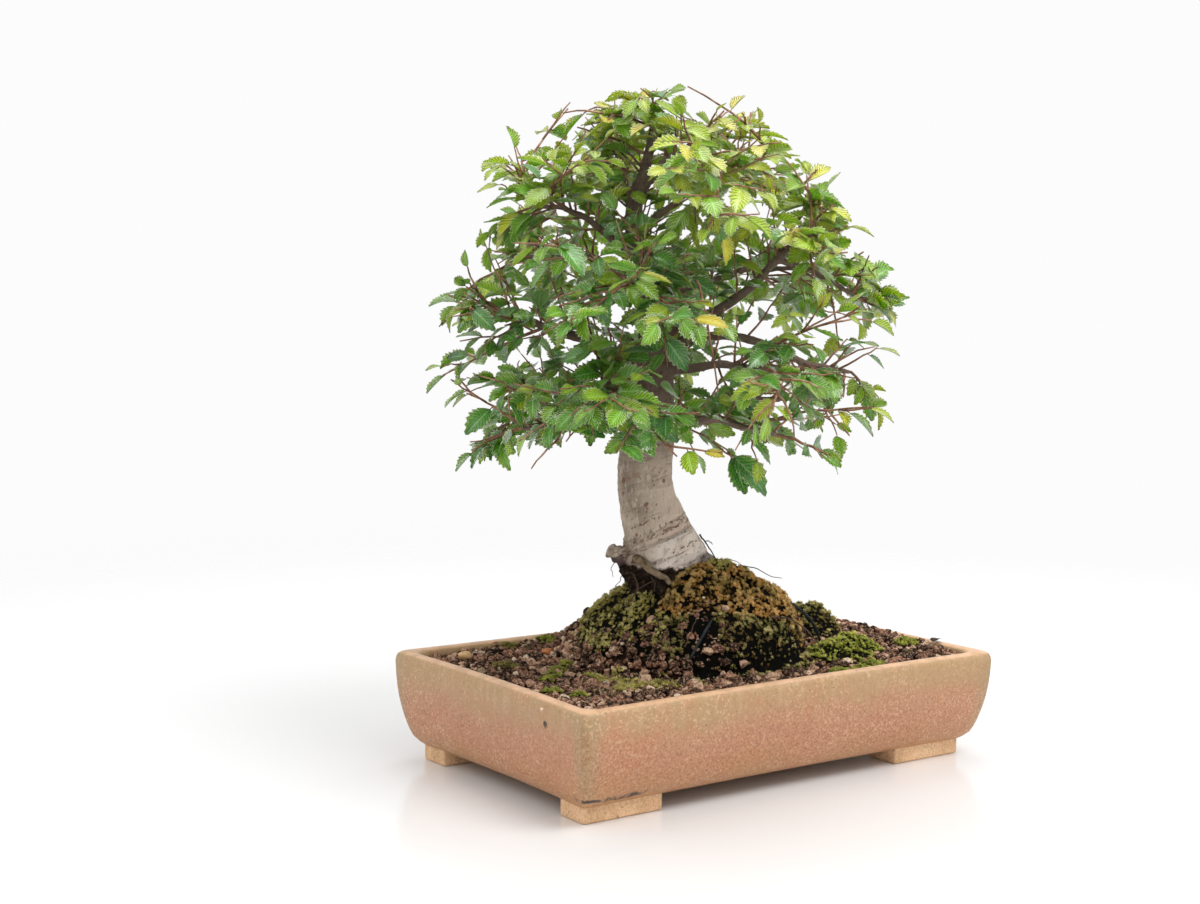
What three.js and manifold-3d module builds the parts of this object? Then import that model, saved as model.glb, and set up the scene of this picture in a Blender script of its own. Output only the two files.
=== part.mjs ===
// A chinese elm bonsai: a young broom-shaped elm on a mossy mound of red clay granules, in a shallow
// rectangular glazed pot. Millimetres, +Z up. The origin lies on the surface that the pot stands on,
// under the middle of the pot. X runs along the pot's long side and the pot's front is at -Y.
// The tree has axes of its own, because its front looks out over the pot's front left corner:
// "across" runs to its right, "deep" away from whoever looks at it, and "up" is Z.

import * as THREE from 'three';
import { mergeVertices } from 'three/addons/utils/BufferGeometryUtils.js';
import Module from 'manifold-3d';

const wasm = await Module();
wasm.setup();

// Driving dimensions of the pot
const POT_LENGTH = 254;
const POT_WIDTH = 166;
const POT_HEIGHT = 54;
const RIM_WIDTH = 8.5;
const FLOOR_TOP = 15;
const UNDERSIDE = 7.5;
const SIDE_BOW = 2;
const FOOT_LENGTH = 44;
const FOOT_WIDTH = 19;
const FEET_LONG = 233.8;
const FEET_WIDE = 138;
const FOOT_TOP = 11;
const DRAIN_OFFSET = 62;
const DRAIN_RADIUS = 9;
const DRAIN_SIDES = 12;

// Drain screens
const SCREEN_SIZE = 34;
const SCREEN_THICKNESS = 1;
const SCREEN_HOLE = 13;
const SCREEN_BAR = 2.4;
const SCREEN_HOLES_A_SIDE = 2;

// Soil, mound and moss
const GRID_CELL = 10;
const CELLS_LONG = 25;
const CELLS_WIDE = 15;
const GRID_JITTER = 3.4;
const SOIL_LEVEL = 50.5;
const SOIL_RISE = 0.06;
const SOIL_LOW = 48;
const SOIL_HIGH = 54.5;
const GRAIN_RELIEF = 2.6;
const MOUND_TOP = 92;
const MOUND_CENTRE = [4, 4];
const MOUND_REACH = { left: 66, right: 56, front: 50, back: 82 };
const MOUND_FULLNESS = 0.75;
const MOUND_LEAN = 0.35;
const CREST = { x: -15, y: -18, rise: 10, reach: 31 };
const MOSS_EDGE = 1.4;
const MOSS_LUMPS = 1.8;

// Tree
const TREE_TURN = THREE.MathUtils.degToRad(-35.75);
const BARK_SIDES = 10;
const BRANCH_SIDES = 5;
const BRANCH_STEPS = 3;
const ROOT_SIDES = 6;
const ROOT_STEPS = 3;

// Sprays of leaves
const LEAVES_A_SPRAY = 6;
const LEAF_LENGTH = 17;
const LEAF_WIDTH_SHARE = 0.58;
const LEAF_THICKNESS = 1.2;
const TWIG_RADIUS = 1;
const TWIG_TIP_RADIUS = 0.5;
const TWIG_SIDES = 4;
const TWIG_STEPS = 3;
const CROWN_CORE = [-18.5, -13, 170];
const CROWN_REACH = 127;
const CROWN_DEPTH = 116;
const TIP_MARGIN = 10;

const CLEARANCE = 0.3;
const RUN_STEP = 0.1;
const LONGEST_RUN = 8;
const OVERSHOOT = 1;
const SEED = 1947;
const WELD = 1e-5;
const UP = new THREE.Vector3(0, 0, 1);

// Each use of the random draws has a number of its own
const DRAW = {
  gridX: 1,
  gridY: 2,
  grain: 3,
  mossLump: 4,
  tipTurn: 11,
  tipReach: 12,
  tipHeight: 13,
  leafSag: 21,
  leafFaceX: 22,
  leafFaceY: 23,
  leafSize: 24,
  detour: [31, 32, 33],
};

// A draw from 0 to 1 that is always the same for the same whole numbers
function chance(...keys) {
  let mix = SEED;
  for (const key of keys) {
    mix = Math.imul(mix ^ (key + 101), 0x9e3779b1);
    mix ^= mix >>> 15;
    mix = Math.imul(mix, 0x85ebca6b);
    mix ^= mix >>> 13;
  }
  return (mix >>> 0) / 2 ** 32;
}

// The same draw, spread evenly to both sides of zero
function sway(...keys) {
  return 2 * chance(...keys) - 1;
}

// A place given in the tree's own axes
function treePlace(across, deep, up) {
  return new THREE.Vector3(across, deep, up).applyAxisAngle(UP, TREE_TURN);
}

function treeDeep(x, y) {
  return y * Math.cos(TREE_TURN) - x * Math.sin(TREE_TURN);
}

// Moves each vertex of a geometry to where the rule says
function moveVertices(geometry, rule) {
  const position = geometry.attributes.position;
  const spot = new THREE.Vector3();
  for (let i = 0; i < position.count; i += 1) {
    spot.fromBufferAttribute(position, i);
    const moved = rule(spot);
    position.setXYZ(i, moved.x, moved.y, moved.z);
  }
  return geometry;
}

function toSolid(geometry) {
  geometry.deleteAttribute('normal');
  geometry.deleteAttribute('uv');
  const merged = mergeVertices(geometry, WELD);
  return new wasm.Manifold(
    new wasm.Mesh({
      numProp: 3,
      vertProperties: new Float32Array(merged.attributes.position.array),
      triVerts: new Uint32Array(merged.index.array),
    }),
  );
}

function touches(solid, others) {
  return others.some((other) => solid.intersect(other).volume() > 0);
}

// How far a solid can move along a heading, in small steps, before it meets another
function clearRun(solid, heading, other) {
  let run = 0;
  const moved = () => solid.translate(heading.clone().multiplyScalar(run + RUN_STEP).toArray());
  while (run < LONGEST_RUN && !touches(moved(), [other])) {
    run += RUN_STEP;
  }
  return run;
}

// The largest closed body of a solid, without loose scraps
function mainBody(solid) {
  const bodies = solid.decompose();
  return bodies.reduce((best, body) => (body.volume() > best.volume() ? body : best));
}

function join(solids) {
  return solids.reduce((whole, solid) => whole.add(solid));
}

function cut(solid, cutters) {
  return cutters.reduce((rest, cutter) => rest.subtract(cutter), solid);
}

function toMesh(name, solid, look) {
  const { vertProperties, triVerts } = mainBody(solid).getMesh();
  const geometry = new THREE.BufferGeometry();
  geometry.setAttribute('position', new THREE.BufferAttribute(new Float32Array(vertProperties), 3));
  geometry.setIndex(new THREE.BufferAttribute(new Uint32Array(triVerts), 1));
  geometry.computeVertexNormals();
  const mesh = new THREE.Mesh(geometry, new THREE.MeshStandardMaterial(look));
  mesh.name = name;
  return mesh;
}

// A closed body whose rings of vertices lie where the rule puts them. The rule is given how far along
// the body the ring is, from 0 to 1, and which of its columns, and each end closes on its middle.
function ringBody(sides, steps, ringPoint, endPoint) {
  const body = new THREE.CylinderGeometry(1, 1, 1, sides, steps);
  moveVertices(body, (spot) => {
    const along = spot.y + 0.5;
    if (Math.hypot(spot.x, spot.z) < 0.5) {
      return endPoint(along);
    }
    const turn = Math.atan2(spot.x, spot.z) / (2 * Math.PI);
    const column = Math.round(turn * sides + sides) % sides;
    return ringPoint(Math.round(along * steps), column);
  });
  return toSolid(body);
}

// A tapering limb along a smooth curve. The radius is a rule of how far along the limb, and of the
// angle round it where the section isn't round. Two of its sides face along "beside".
function limb(curve, beside, radiusAt, sides, steps, grow = 0) {
  const ringPoint = (step, column) => {
    const along = step / steps;
    const heading = curve.getTangent(along);
    const sideways = beside.clone().addScaledVector(heading, -beside.dot(heading)).normalize();
    const upright = sideways.clone().cross(heading);
    const angle = (2 * Math.PI * (column + 0.5)) / sides;
    const radius = radiusAt(along, angle) + grow;
    return curve
      .getPoint(along)
      .addScaledVector(sideways, radius * Math.sin(angle))
      .addScaledVector(upright, radius * Math.cos(angle));
  };
  return ringBody(sides, steps, ringPoint, (along) => curve.getPoint(along));
}

// A level direction across a curve's main run
function levelAcross(curve) {
  const run = curve.getPoint(1).sub(curve.getPoint(0));
  return new THREE.Vector3(-run.y, run.x, 0).normalize();
}

// Pot

// Height, then how far in from the largest outline the wall lies on the short and the long sides
const POT_WALL = [
  [UNDERSIDE, 9, 12.6],
  [12, 5.6, 7.9],
  [18, 3.7, 5.2],
  [26, 2, 2.8],
  [37, 0.6, 0.8],
  [49, 0, 0],
  [POT_HEIGHT, 0.9, 0.9],
];
const POT_HOLLOW = [
  [FLOOR_TOP, 16, 19],
  [24, 10, 10.6],
  [50, RIM_WIDTH, RIM_WIDTH],
  [POT_HEIGHT + OVERSHOOT, RIM_WIDTH - 1, RIM_WIDTH - 1],
];
const OUTER_CORNER = 3.5;
const INNER_CORNER = 9;
const CORNER_STEPS = 2;
const LONG_SIDE_STEPS = 4;
const SHORT_SIDE_STEPS = 3;

// One level of the pot: a rectangle with round corners, whose sides bow in a little
function potRing(height, insetLong, insetWide, corner) {
  const halfX = POT_LENGTH / 2 - insetLong;
  const halfY = POT_WIDTH / 2 - insetWide;
  const signs = [[1, -1], [1, 1], [-1, 1], [-1, -1]];
  const cornerPoint = (number, angle) => new THREE.Vector3(
    signs[number][0] * (halfX - corner) + corner * Math.cos(angle),
    signs[number][1] * (halfY - corner) + corner * Math.sin(angle),
    height,
  );
  const ring = [];
  for (let number = 0; number < signs.length; number += 1) {
    const startAngle = (number - 1) * (Math.PI / 2);
    for (let step = 0; step <= CORNER_STEPS; step += 1) {
      ring.push(cornerPoint(number, startAngle + (step / CORNER_STEPS) * (Math.PI / 2)));
    }
    const from = ring[ring.length - 1];
    const to = cornerPoint((number + 1) % signs.length, startAngle + Math.PI / 2);
    const inward = new THREE.Vector3(-(to.y - from.y), to.x - from.x, 0).normalize();
    const sideSteps = number % 2 === 0 ? SHORT_SIDE_STEPS : LONG_SIDE_STEPS;
    for (let step = 1; step < sideSteps; step += 1) {
      const share = step / sideSteps;
      const bow = SIDE_BOW * (1 - (2 * share - 1) ** 2);
      ring.push(from.clone().lerp(to, share).addScaledVector(inward, bow));
    }
  }
  return ring;
}

function potBody(levels, corner, grow = 0) {
  const rings = levels.map(([height, long, wide]) => potRing(height, long - grow, wide - grow, corner));
  return ringBody(
    rings[0].length,
    rings.length - 1,
    (step, column) => rings[step][column],
    (along) => new THREE.Vector3(0, 0, levels[along < 0.5 ? 0 : levels.length - 1][0]),
  );
}

function blockBetween(low, high) {
  const box = new THREE.Box3(new THREE.Vector3(...low), new THREE.Vector3(...high));
  const size = box.getSize(new THREE.Vector3());
  const middle = box.getCenter(new THREE.Vector3());
  return toSolid(new THREE.BoxGeometry(size.x, size.y, size.z).translate(middle.x, middle.y, middle.z));
}

function pot() {
  const feet = [-1, 1].flatMap((sideX) => [-1, 1].map((sideY) => {
    const outerX = (sideX * FEET_LONG) / 2;
    const outerY = (sideY * FEET_WIDE) / 2;
    const innerX = outerX - sideX * FOOT_LENGTH;
    const innerY = outerY - sideY * FOOT_WIDTH;
    return blockBetween(
      [Math.min(outerX, innerX), Math.min(outerY, innerY), 0],
      [Math.max(outerX, innerX), Math.max(outerY, innerY), FOOT_TOP],
    );
  }));
  const drains = [-1, 1].map((side) => {
    const drain = new THREE.CylinderGeometry(DRAIN_RADIUS, DRAIN_RADIUS, 2 * FLOOR_TOP, DRAIN_SIDES);
    return toSolid(drain.rotateX(Math.PI / 2).translate(side * DRAIN_OFFSET, 0, FLOOR_TOP));
  });
  const shell = potBody(POT_WALL, OUTER_CORNER).subtract(potBody(POT_HOLLOW, INNER_CORNER));
  return cut(join([shell, ...feet]), drains);
}

// Drain screens

function drainScreen(side) {
  const half = SCREEN_SIZE / 2;
  const low = FLOOR_TOP + CLEARANCE;
  const high = low + SCREEN_THICKNESS;
  const middle = side * DRAIN_OFFSET;
  const plate = blockBetween([middle - half, -half, low], [middle + half, half, high]);
  const pitch = SCREEN_HOLE + SCREEN_BAR;
  const first = (-pitch * (SCREEN_HOLES_A_SIDE - 1) - SCREEN_HOLE) / 2;
  const holes = [];
  for (let row = 0; row < SCREEN_HOLES_A_SIDE; row += 1) {
    for (let column = 0; column < SCREEN_HOLES_A_SIDE; column += 1) {
      const x = middle + first + column * pitch;
      const y = first + row * pitch;
      const corner = [x + SCREEN_HOLE, y + SCREEN_HOLE, high + OVERSHOOT];
      holes.push(blockBetween([x, y, low - OVERSHOOT], corner));
    }
  }
  return cut(plate, holes);
}

// Soil and mound

function soilLevel(x, y) {
  return THREE.MathUtils.clamp(SOIL_LEVEL + SOIL_RISE * treeDeep(x, y), SOIL_LOW, SOIL_HIGH);
}

// The ground is heaped up against the front of the trunk
function crestRise(x, y) {
  const out = Math.min(1, Math.hypot(x - CREST.x, y - CREST.y) / CREST.reach);
  return CREST.rise * (1 - out ** 2) ** 2;
}

// The smooth shape of the ground: nearly level, with a steep blunt mound that eases to the back left
function groundHeight(x, y) {
  const level = soilLevel(x, y) + crestRise(x, y);
  const [centreX, centreY] = MOUND_CENTRE;
  const u = (x - centreX) / (x < centreX ? MOUND_REACH.left : MOUND_REACH.right);
  const v = (y - centreY) / (y < centreY ? MOUND_REACH.front : MOUND_REACH.back);
  const out = Math.hypot(u, v);
  if (out >= 1) {
    return level;
  }
  const lean = (u - v) / Math.max(Math.abs(u) + Math.abs(v), WELD);
  const share = (1 - out ** 2) ** (MOUND_FULLNESS - MOUND_LEAN * lean);
  return level + (MOUND_TOP - soilLevel(x, y)) * share;
}

// A closed block under a surface, with the grains' relief. All such blocks share one uneven grid, so
// that surfaces laid over each other stay parallel.
function surfaceBlock(heightAt, floor) {
  const width = GRID_CELL * CELLS_LONG;
  const depth = GRID_CELL * CELLS_WIDE;
  const block = new THREE.BoxGeometry(width, depth, 2, CELLS_LONG, CELLS_WIDE, 1);
  moveVertices(block, (spot) => {
    const column = Math.round(spot.x / GRID_CELL + CELLS_LONG / 2);
    const row = Math.round(spot.y / GRID_CELL + CELLS_WIDE / 2);
    const edge = column % CELLS_LONG === 0 || row % CELLS_WIDE === 0;
    const x = spot.x + (edge ? 0 : GRID_JITTER * sway(column, row, DRAW.gridX));
    const y = spot.y + (edge ? 0 : GRID_JITTER * sway(column, row, DRAW.gridY));
    return new THREE.Vector3(x, y, spot.z > 0 ? heightAt(x, y, column, row) : floor);
  });
  return toSolid(block);
}

function soilHeight(x, y, column, row) {
  return groundHeight(x, y) + GRAIN_RELIEF * (chance(column, row, DRAW.grain) - 0.5);
}

function soil(cutters) {
  const hollow = POT_HOLLOW.map(([height, long, wide], number) => [
    number === 0 ? height + CLEARANCE : height + MOUND_TOP * (number === POT_HOLLOW.length - 1),
    long + CLEARANCE,
    wide + CLEARANCE,
  ]);
  const fill = potBody(hollow, INNER_CORNER).intersect(surfaceBlock(soilHeight, 0));
  const reach = SCREEN_SIZE / 2 + CLEARANCE;
  const screenTop = FLOOR_TOP + 2 * CLEARANCE + SCREEN_THICKNESS;
  const screenRooms = [-1, 1].map((side) => blockBetween(
    [side * DRAIN_OFFSET - reach, -reach, 0],
    [side * DRAIN_OFFSET + reach, reach, screenTop],
  ));
  return cut(fill, [...screenRooms, ...cutters]);
}

// Moss cushions, in the order in which each grows up to the one before: middle, radii, turn and swell
const MOSS_PATCHES = [
  { name: 'moss_golden', x: 6, y: -20, long: 40, wide: 18, turn: -8, swell: 3.4, color: 0x9a7a35 },
  { name: 'moss_dark', x: 2, y: -32, long: 44, wide: 17, turn: -6, swell: 2.4, color: 0x262a1c },
  { name: 'moss_olive', x: -10, y: 12, long: 44, wide: 44, turn: 0, swell: 2.4, color: 0x5f6a2c },
  { name: 'moss_bright', x: 67, y: -37, long: 23, wide: 16, turn: 8, swell: 7.4, color: 0x7c9a35 },
  { name: 'moss_shade', x: 81, y: 8, long: 21, wide: 17, turn: 30, swell: 14.4, color: 0x3a4522 },
];
const PATCH_SIDES = 12;

function patchColumn(patch, grow) {
  const turn = THREE.MathUtils.degToRad(patch.turn);
  const column = new THREE.CylinderGeometry(1, 1, 2 * MOUND_TOP, PATCH_SIDES);
  column.scale(patch.long + grow, 1, patch.wide + grow).rotateX(Math.PI / 2).rotateZ(turn);
  return toSolid(column.translate(patch.x, patch.y, MOUND_TOP));
}

// How far out from the middle of a patch a place lies: 0 in the middle and 1 at the edge
function patchOut(patch, x, y) {
  const turn = THREE.MathUtils.degToRad(patch.turn);
  const dx = x - patch.x;
  const dy = y - patch.y;
  const along = (dx * Math.cos(turn) + dy * Math.sin(turn)) / patch.long;
  const beside = (dy * Math.cos(turn) - dx * Math.sin(turn)) / patch.wide;
  return Math.min(1, Math.hypot(along, beside));
}

function mossPatch(number, cutters) {
  const patch = MOSS_PATCHES[number];
  const earlier = MOSS_PATCHES.slice(0, number).map((other) => patchColumn(other, 2 * CLEARANCE));
  const top = (x, y, column, row) => {
    const thick = MOSS_EDGE + patch.swell * (1 - patchOut(patch, x, y) ** 2);
    return soilHeight(x, y, column, row) + thick + MOSS_LUMPS * chance(column, row, DRAW.mossLump);
  };
  const bottom = (x, y, column, row) => soilHeight(x, y, column, row) + CLEARANCE;
  const slab = surfaceBlock(top, 0).intersect(patchColumn(patch, 0));
  return cut(slab, [surfaceBlock(bottom, -OVERSHOOT), ...earlier, ...cutters]);
}

const PEBBLE_STRETCH = 1.2;
const PEBBLE_SQUASH = 0.75;
const PEBBLES = [
  { name: 'pebble_cream', x: -100, y: 58, radius: 3.6, color: 0xd9cbb0 },
  { name: 'pebble_orange', x: -60, y: 44, radius: 3.2, color: 0xb5713f },
];

// A pebble is let down until it lies on the grains
function pebble(stone, ground) {
  const ball = new THREE.IcosahedronGeometry(stone.radius).scale(PEBBLE_STRETCH, 1, PEBBLE_SQUASH);
  const start = soilLevel(stone.x, stone.y) + GRAIN_RELIEF + stone.radius;
  const held = toSolid(ball.translate(stone.x, stone.y, start));
  const drop = clearRun(held, UP.clone().negate(), ground) - CLEARANCE;
  return held.translate([0, 0, -drop]);
}

// Tie wires: up through a drain hole and the soil, out at the mound's foot, up over its side and in
const WIRE_RADIUS = 0.9;
const WIRE_SIDES = 4;
const WIRE_STEPS = 10;
const WIRE_TENSION = 0.2;
const TIE_WIRES = [
  {
    name: 'tie_wire_front',
    way: [
      [-62, -2, 9.5],
      [-57, -5, 12],
      [-56, -6, 20],
      [-33, -35, 57.5],
      [-28, -36, 65.5],
      [-22, -35.5, 73],
      [-16, -33, 78],
    ],
  },
  {
    name: 'tie_wire_right',
    way: [
      [62, -2, 9.5],
      [57, -5, 12],
      [56, -6, 20],
      [62, -24, 50],
      [58, -26, 62],
      [47, -28, 73],
      [36, -22, 82],
    ],
  },
];

function wire(tie, grow = 0) {
  const points = tie.way.map((point) => new THREE.Vector3(...point));
  const curve = new THREE.CatmullRomCurve3(points, false, 'catmullrom', WIRE_TENSION);
  return limb(curve, levelAcross(curve), () => WIRE_RADIUS, WIRE_SIDES, WIRE_STEPS, grow);
}

// Trunk and branches, in the tree's own axes

const TRUNK_LINE = [
  { across: -13, deep: 0, up: 84, radius: 17 },
  { across: -15, deep: -1, up: 95, radius: 20.5 },
  { across: -17.5, deep: -2, up: 103, radius: 21.5 },
  { across: -20.3, deep: -3, up: 115, radius: 17 },
  { across: -25.3, deep: -5, up: 130, radius: 14.2 },
  { across: -27, deep: -6, up: 145, radius: 13.6 },
  { across: -25.5, deep: -7, up: 162, radius: 13 },
  { across: -24, deep: -8, up: 186, radius: 10.8 },
  { across: -22.5, deep: -8, up: 212, radius: 8.6 },
  { across: -25, deep: -9, up: 236, radius: 7 },
  { across: -32, deep: -9, up: 258, radius: 5.4 },
  { across: -34, deep: -9, up: 274, radius: 4.2 },
  { across: -29, deep: -10, up: 292, radius: 3 },
  { across: -25, deep: -10, up: 313, radius: 2 },
];
const TRUNK_FLUTES = 5;
const FLUTE_DEPTH = 0.09;
const FLUTE_LOW = 90;
const FLUTE_HIGH = 135;

function trunkLine() {
  return new THREE.CatmullRomCurve3(
    TRUNK_LINE.map(({ across, deep, up }) => treePlace(across, deep, up)),
  );
}

function trunkStem(grow) {
  const last = TRUNK_LINE.length - 1;
  const radiusAt = (along, angle) => {
    const station = TRUNK_LINE[Math.round(along * last)];
    const fluting = THREE.MathUtils.clamp((FLUTE_HIGH - station.up) / (FLUTE_HIGH - FLUTE_LOW), 0, 1);
    return station.radius * (1 + FLUTE_DEPTH * fluting * Math.cos(TRUNK_FLUTES * angle));
  };
  return limb(trunkLine(), treePlace(1, 0, 0), radiusAt, BARK_SIDES, last, grow);
}

// Roots: two or three places and the radius at each end
const ROOTS = [
  { way: [[-10, -4, 103], [2, -4, 96], [16, -4, 84]], from: 12, to: 6 },
  { way: [[-14, 4, 101], [2, 16, 92], [12, 30, 76]], from: 10, to: 6 },
  { way: [[-20, 4, 100], [-27, 16, 89], [-31, 28, 74]], from: 10, to: 5 },
  { way: [[-28, -12, 100], [-24, -19, 96], [-16, -24, 88]], from: 4, to: 3.2 },
  { way: [[-18, -8, 98], [-6, -15, 90], [8, -20, 76]], from: 8, to: 5 },
];
const STUB = { way: [[-30, -8, 103], [-39, -11, 103.6], [-45, -12, 105]], from: 6, to: 2.6 };

function root(part, grow) {
  const curve = new THREE.CatmullRomCurve3(part.way.map((point) => treePlace(...point)));
  const radiusAt = (along) => THREE.MathUtils.lerp(part.from, part.to, along);
  return limb(curve, levelAcross(curve), radiusAt, ROOT_SIDES, ROOT_STEPS, grow);
}

// Branches: their places from the trunk outwards, and the radius at each end
const BRANCHES = [
  { way: [[-26, -7, 164], [-55, -24, 171], [-86, -34, 168]], from: 3.2, to: 1.7 },
  { way: [[-24, -8, 166], [2, -34, 173], [34, -56, 168]], from: 3, to: 1.6 },
  { way: [[-25, -7, 170], [8, 24, 178], [44, 42, 178]], from: 3.2, to: 1.7 },
  { way: [[-25, -7, 174], [-58, 24, 184], [-84, 42, 184]], from: 3, to: 1.6 },
  { way: [[-25, -8, 182], [-42, -46, 192], [-56, -76, 188]], from: 3, to: 1.6 },
  { way: [[-24, -8, 184], [-18, 36, 194], [-14, 72, 192]], from: 3, to: 1.6 },
  { way: [[-24, -8, 198], [-70, -14, 214], [-98, -20, 224]], from: 3.2, to: 1.6 },
  { way: [[-23, -8, 194], [8, -46, 200], [26, -76, 200]], from: 2.8, to: 1.5 },
  { way: [[-23, -8, 206], [16, -20, 213], [52, -24, 200], [72, -20, 196]], from: 2.8, to: 1.4 },
  { way: [[-22, -8, 210], [17, -18, 231], [36, -24, 252], [50, -34, 262]], from: 3, to: 1.4 },
  { way: [[34, -24, 250], [58, -14, 242], [76, -6, 232]], from: 1.8, to: 1.3 },
  { way: [[-23, -8, 218], [-10, 32, 236], [6, 64, 240]], from: 2.7, to: 1.4 },
  { way: [[-23, -8, 222], [-30, -46, 236], [-36, -78, 238]], from: 2.7, to: 1.4 },
  { way: [[-24, -8, 230], [22, 16, 244], [52, 26, 246]], from: 2.4, to: 1.4 },
  { way: [[-26, -9, 238], [-62, 20, 252], [-86, 34, 250]], from: 2.4, to: 1.4 },
  { way: [[-30, -9, 248], [-60, -28, 270], [-80, -38, 274]], from: 2.3, to: 1.3 },
  { way: [[-33, -9, 262], [0, 0, 286], [24, 4, 296]], from: 2.1, to: 1.2 },
  { way: [[-34, -9, 270], [-38, 24, 290], [-42, 44, 296]], from: 1.9, to: 1.2 },
  { way: [[-33, -9, 278], [-16, -40, 298], [-6, -56, 298]], from: 1.8, to: 1.2 },
];

function branchLine(branch) {
  return new THREE.CatmullRomCurve3(branch.way.map((point) => treePlace(...point)));
}

function branchRadius(branch, along) {
  return THREE.MathUtils.lerp(branch.from, branch.to, along);
}

function trunk() {
  const branches = BRANCHES.map((branch) => {
    const line = branchLine(branch);
    const radiusAt = (along) => branchRadius(branch, along);
    return limb(line, levelAcross(line), radiusAt, BRANCH_SIDES, BRANCH_STEPS);
  });
  return join([rootCrown(0), ...branches]);
}

function rootCrown(grow) {
  return join([trunkStem(grow), root(STUB, grow), ...ROOTS.map((part) => root(part, grow))]);
}

// Sprays

// Rings of spray tips over the dome of the crown: height, reach from its middle, and how many
const TIP_RINGS = [
  { up: 156, reach: 94, count: 9 },
  { up: 188, reach: 110, count: 9 },
  { up: 222, reach: 112, count: 9 },
  { up: 258, reach: 98, count: 7 },
  { up: 291, reach: 80, count: 6 },
  { up: 319, reach: 50, count: 3 },
  { up: 338, reach: 7, count: 1 },
];
const TIP_HEIGHT_SWAY = 7;
const TIP_REACH_SWAY = 5;
const TIP_TURN_SWAY = 0.16;
const STATIONS = [1, 0.8, 0.6];
const TURN_COST = 70;

// Where the ends of the sprays lie: on rings round the crown, each ring turned against the last
function sprayTips() {
  const tips = [];
  TIP_RINGS.forEach((ring, level) => {
    for (let number = 0; number < ring.count; number += 1) {
      const turn = (2 * Math.PI * (number + 0.5 * (level % 2))) / ring.count;
      const angle = turn + TIP_TURN_SWAY * sway(level, number, DRAW.tipTurn);
      const reach = ring.reach + TIP_REACH_SWAY * sway(level, number, DRAW.tipReach);
      const [centreAcross, centreDeep] = CROWN_CORE;
      const tip = treePlace(
        centreAcross + reach * Math.cos(angle),
        centreDeep + reach * Math.sin(angle),
        ring.up + TIP_HEIGHT_SWAY * sway(level, number, DRAW.tipHeight),
      );
      tip.x = THREE.MathUtils.clamp(tip.x, TIP_MARGIN - CROWN_REACH, CROWN_REACH - TIP_MARGIN);
      tip.y = THREE.MathUtils.clamp(tip.y, TIP_MARGIN - CROWN_DEPTH, CROWN_DEPTH - TIP_MARGIN);
      tips.push(tip);
    }
  });
  return tips;
}

// Every place on a branch where a spray can leave it
function branchStations() {
  return BRANCHES.flatMap((branch) => {
    const line = branchLine(branch);
    return STATIONS.map((along) => ({
      place: line.getPoint(along),
      heading: line.getTangent(along),
      radius: branchRadius(branch, along),
      end: along === 1,
      taken: false,
    }));
  });
}

// Each tip gets the free station that reaches it with the shortest and straightest twig
function spraySeats() {
  const stations = branchStations();
  return sprayTips().map((tip) => {
    const cost = (station) => {
      const way = tip.clone().sub(station.place);
      const bend = 1 - way.clone().normalize().dot(station.heading);
      return way.length() + TURN_COST * bend;
    };
    const free = stations.filter((station) => !station.taken);
    const station = free.reduce((best, other) => (cost(other) < cost(best) ? other : best));
    station.taken = true;
    return { tip, station };
  });
}

// The twig leaves the side of its branch at a slant, or runs on from its end, and bends to the tip
const LEAVING_SLANT = 1.1;
const TWIG_BEND = 0.45;
const DETOUR = 14;

function twigLine({ tip, station, closer = 0 }, number, attempt) {
  const way = tip.clone().sub(station.place);
  const heading = station.heading;
  let leaving = heading.clone();
  let offset = CLEARANCE;
  if (!station.end) {
    const outward = way.clone().addScaledVector(heading, -way.dot(heading)).normalize();
    leaving = heading.clone().addScaledVector(outward, LEAVING_SLANT).normalize();
    const sine = leaving.dot(outward);
    offset = (station.radius + CLEARANCE + TWIG_RADIUS * leaving.dot(heading)) / sine;
  }
  const start = station.place.clone().addScaledVector(leaving, offset - closer);
  const bend = start.clone().addScaledVector(leaving, TWIG_BEND * way.length());
  const detour = DRAW.detour.map((draw) => DETOUR * Math.sign(attempt) * sway(number, attempt, draw));
  return new THREE.QuadraticBezierCurve3(start, bend.add(new THREE.Vector3(...detour)), tip);
}

// Leaf outline from the base round to the tip and back: how far along and how far to the side, as
// shares of the length and the width. Each side has a forward tooth, and a shoulder nearer the tip.
const LEAF_SIDE = [[0.18, 0.32], [0.46, 0.5], [0.51, 0.37], [0.78, 0.34]];
const LEAF_OUTLINE = [
  [0, 0],
  ...LEAF_SIDE,
  [1, 0],
  ...LEAF_SIDE.toReversed().map(([along, side]) => [along, -side]),
];
const LEAF_MIDDLE = 0.45;
const LEAF_FOLD = 0.25;
const LEAF_DROOP = 0.16;

// One toothed leaf: a thin lens folded up along its midrib and arched down to its tip
function leafBody({ root: base, along, face, length }) {
  const side = along.clone().cross(face);
  const width = length * LEAF_WIDTH_SHARE;
  const blade = new THREE.SphereGeometry(1, LEAF_OUTLINE.length, 2);
  moveVertices(blade, (spot) => {
    let [far, aside, lift] = [LEAF_MIDDLE, 0, (LEAF_THICKNESS / 2) * spot.y];
    if (Math.abs(spot.y) < 0.5) {
      const turn = Math.atan2(spot.z, -spot.x) / (2 * Math.PI);
      const point = Math.round(turn * LEAF_OUTLINE.length + LEAF_OUTLINE.length);
      [far, aside] = LEAF_OUTLINE[point % LEAF_OUTLINE.length];
      lift = LEAF_FOLD * width * Math.abs(aside);
    }
    return base.clone()
      .addScaledVector(along, far * length)
      .addScaledVector(side, aside * width)
      .addScaledVector(face, lift - LEAF_DROOP * length * far ** 2);
  });
  return toSolid(blade);
}

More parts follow.
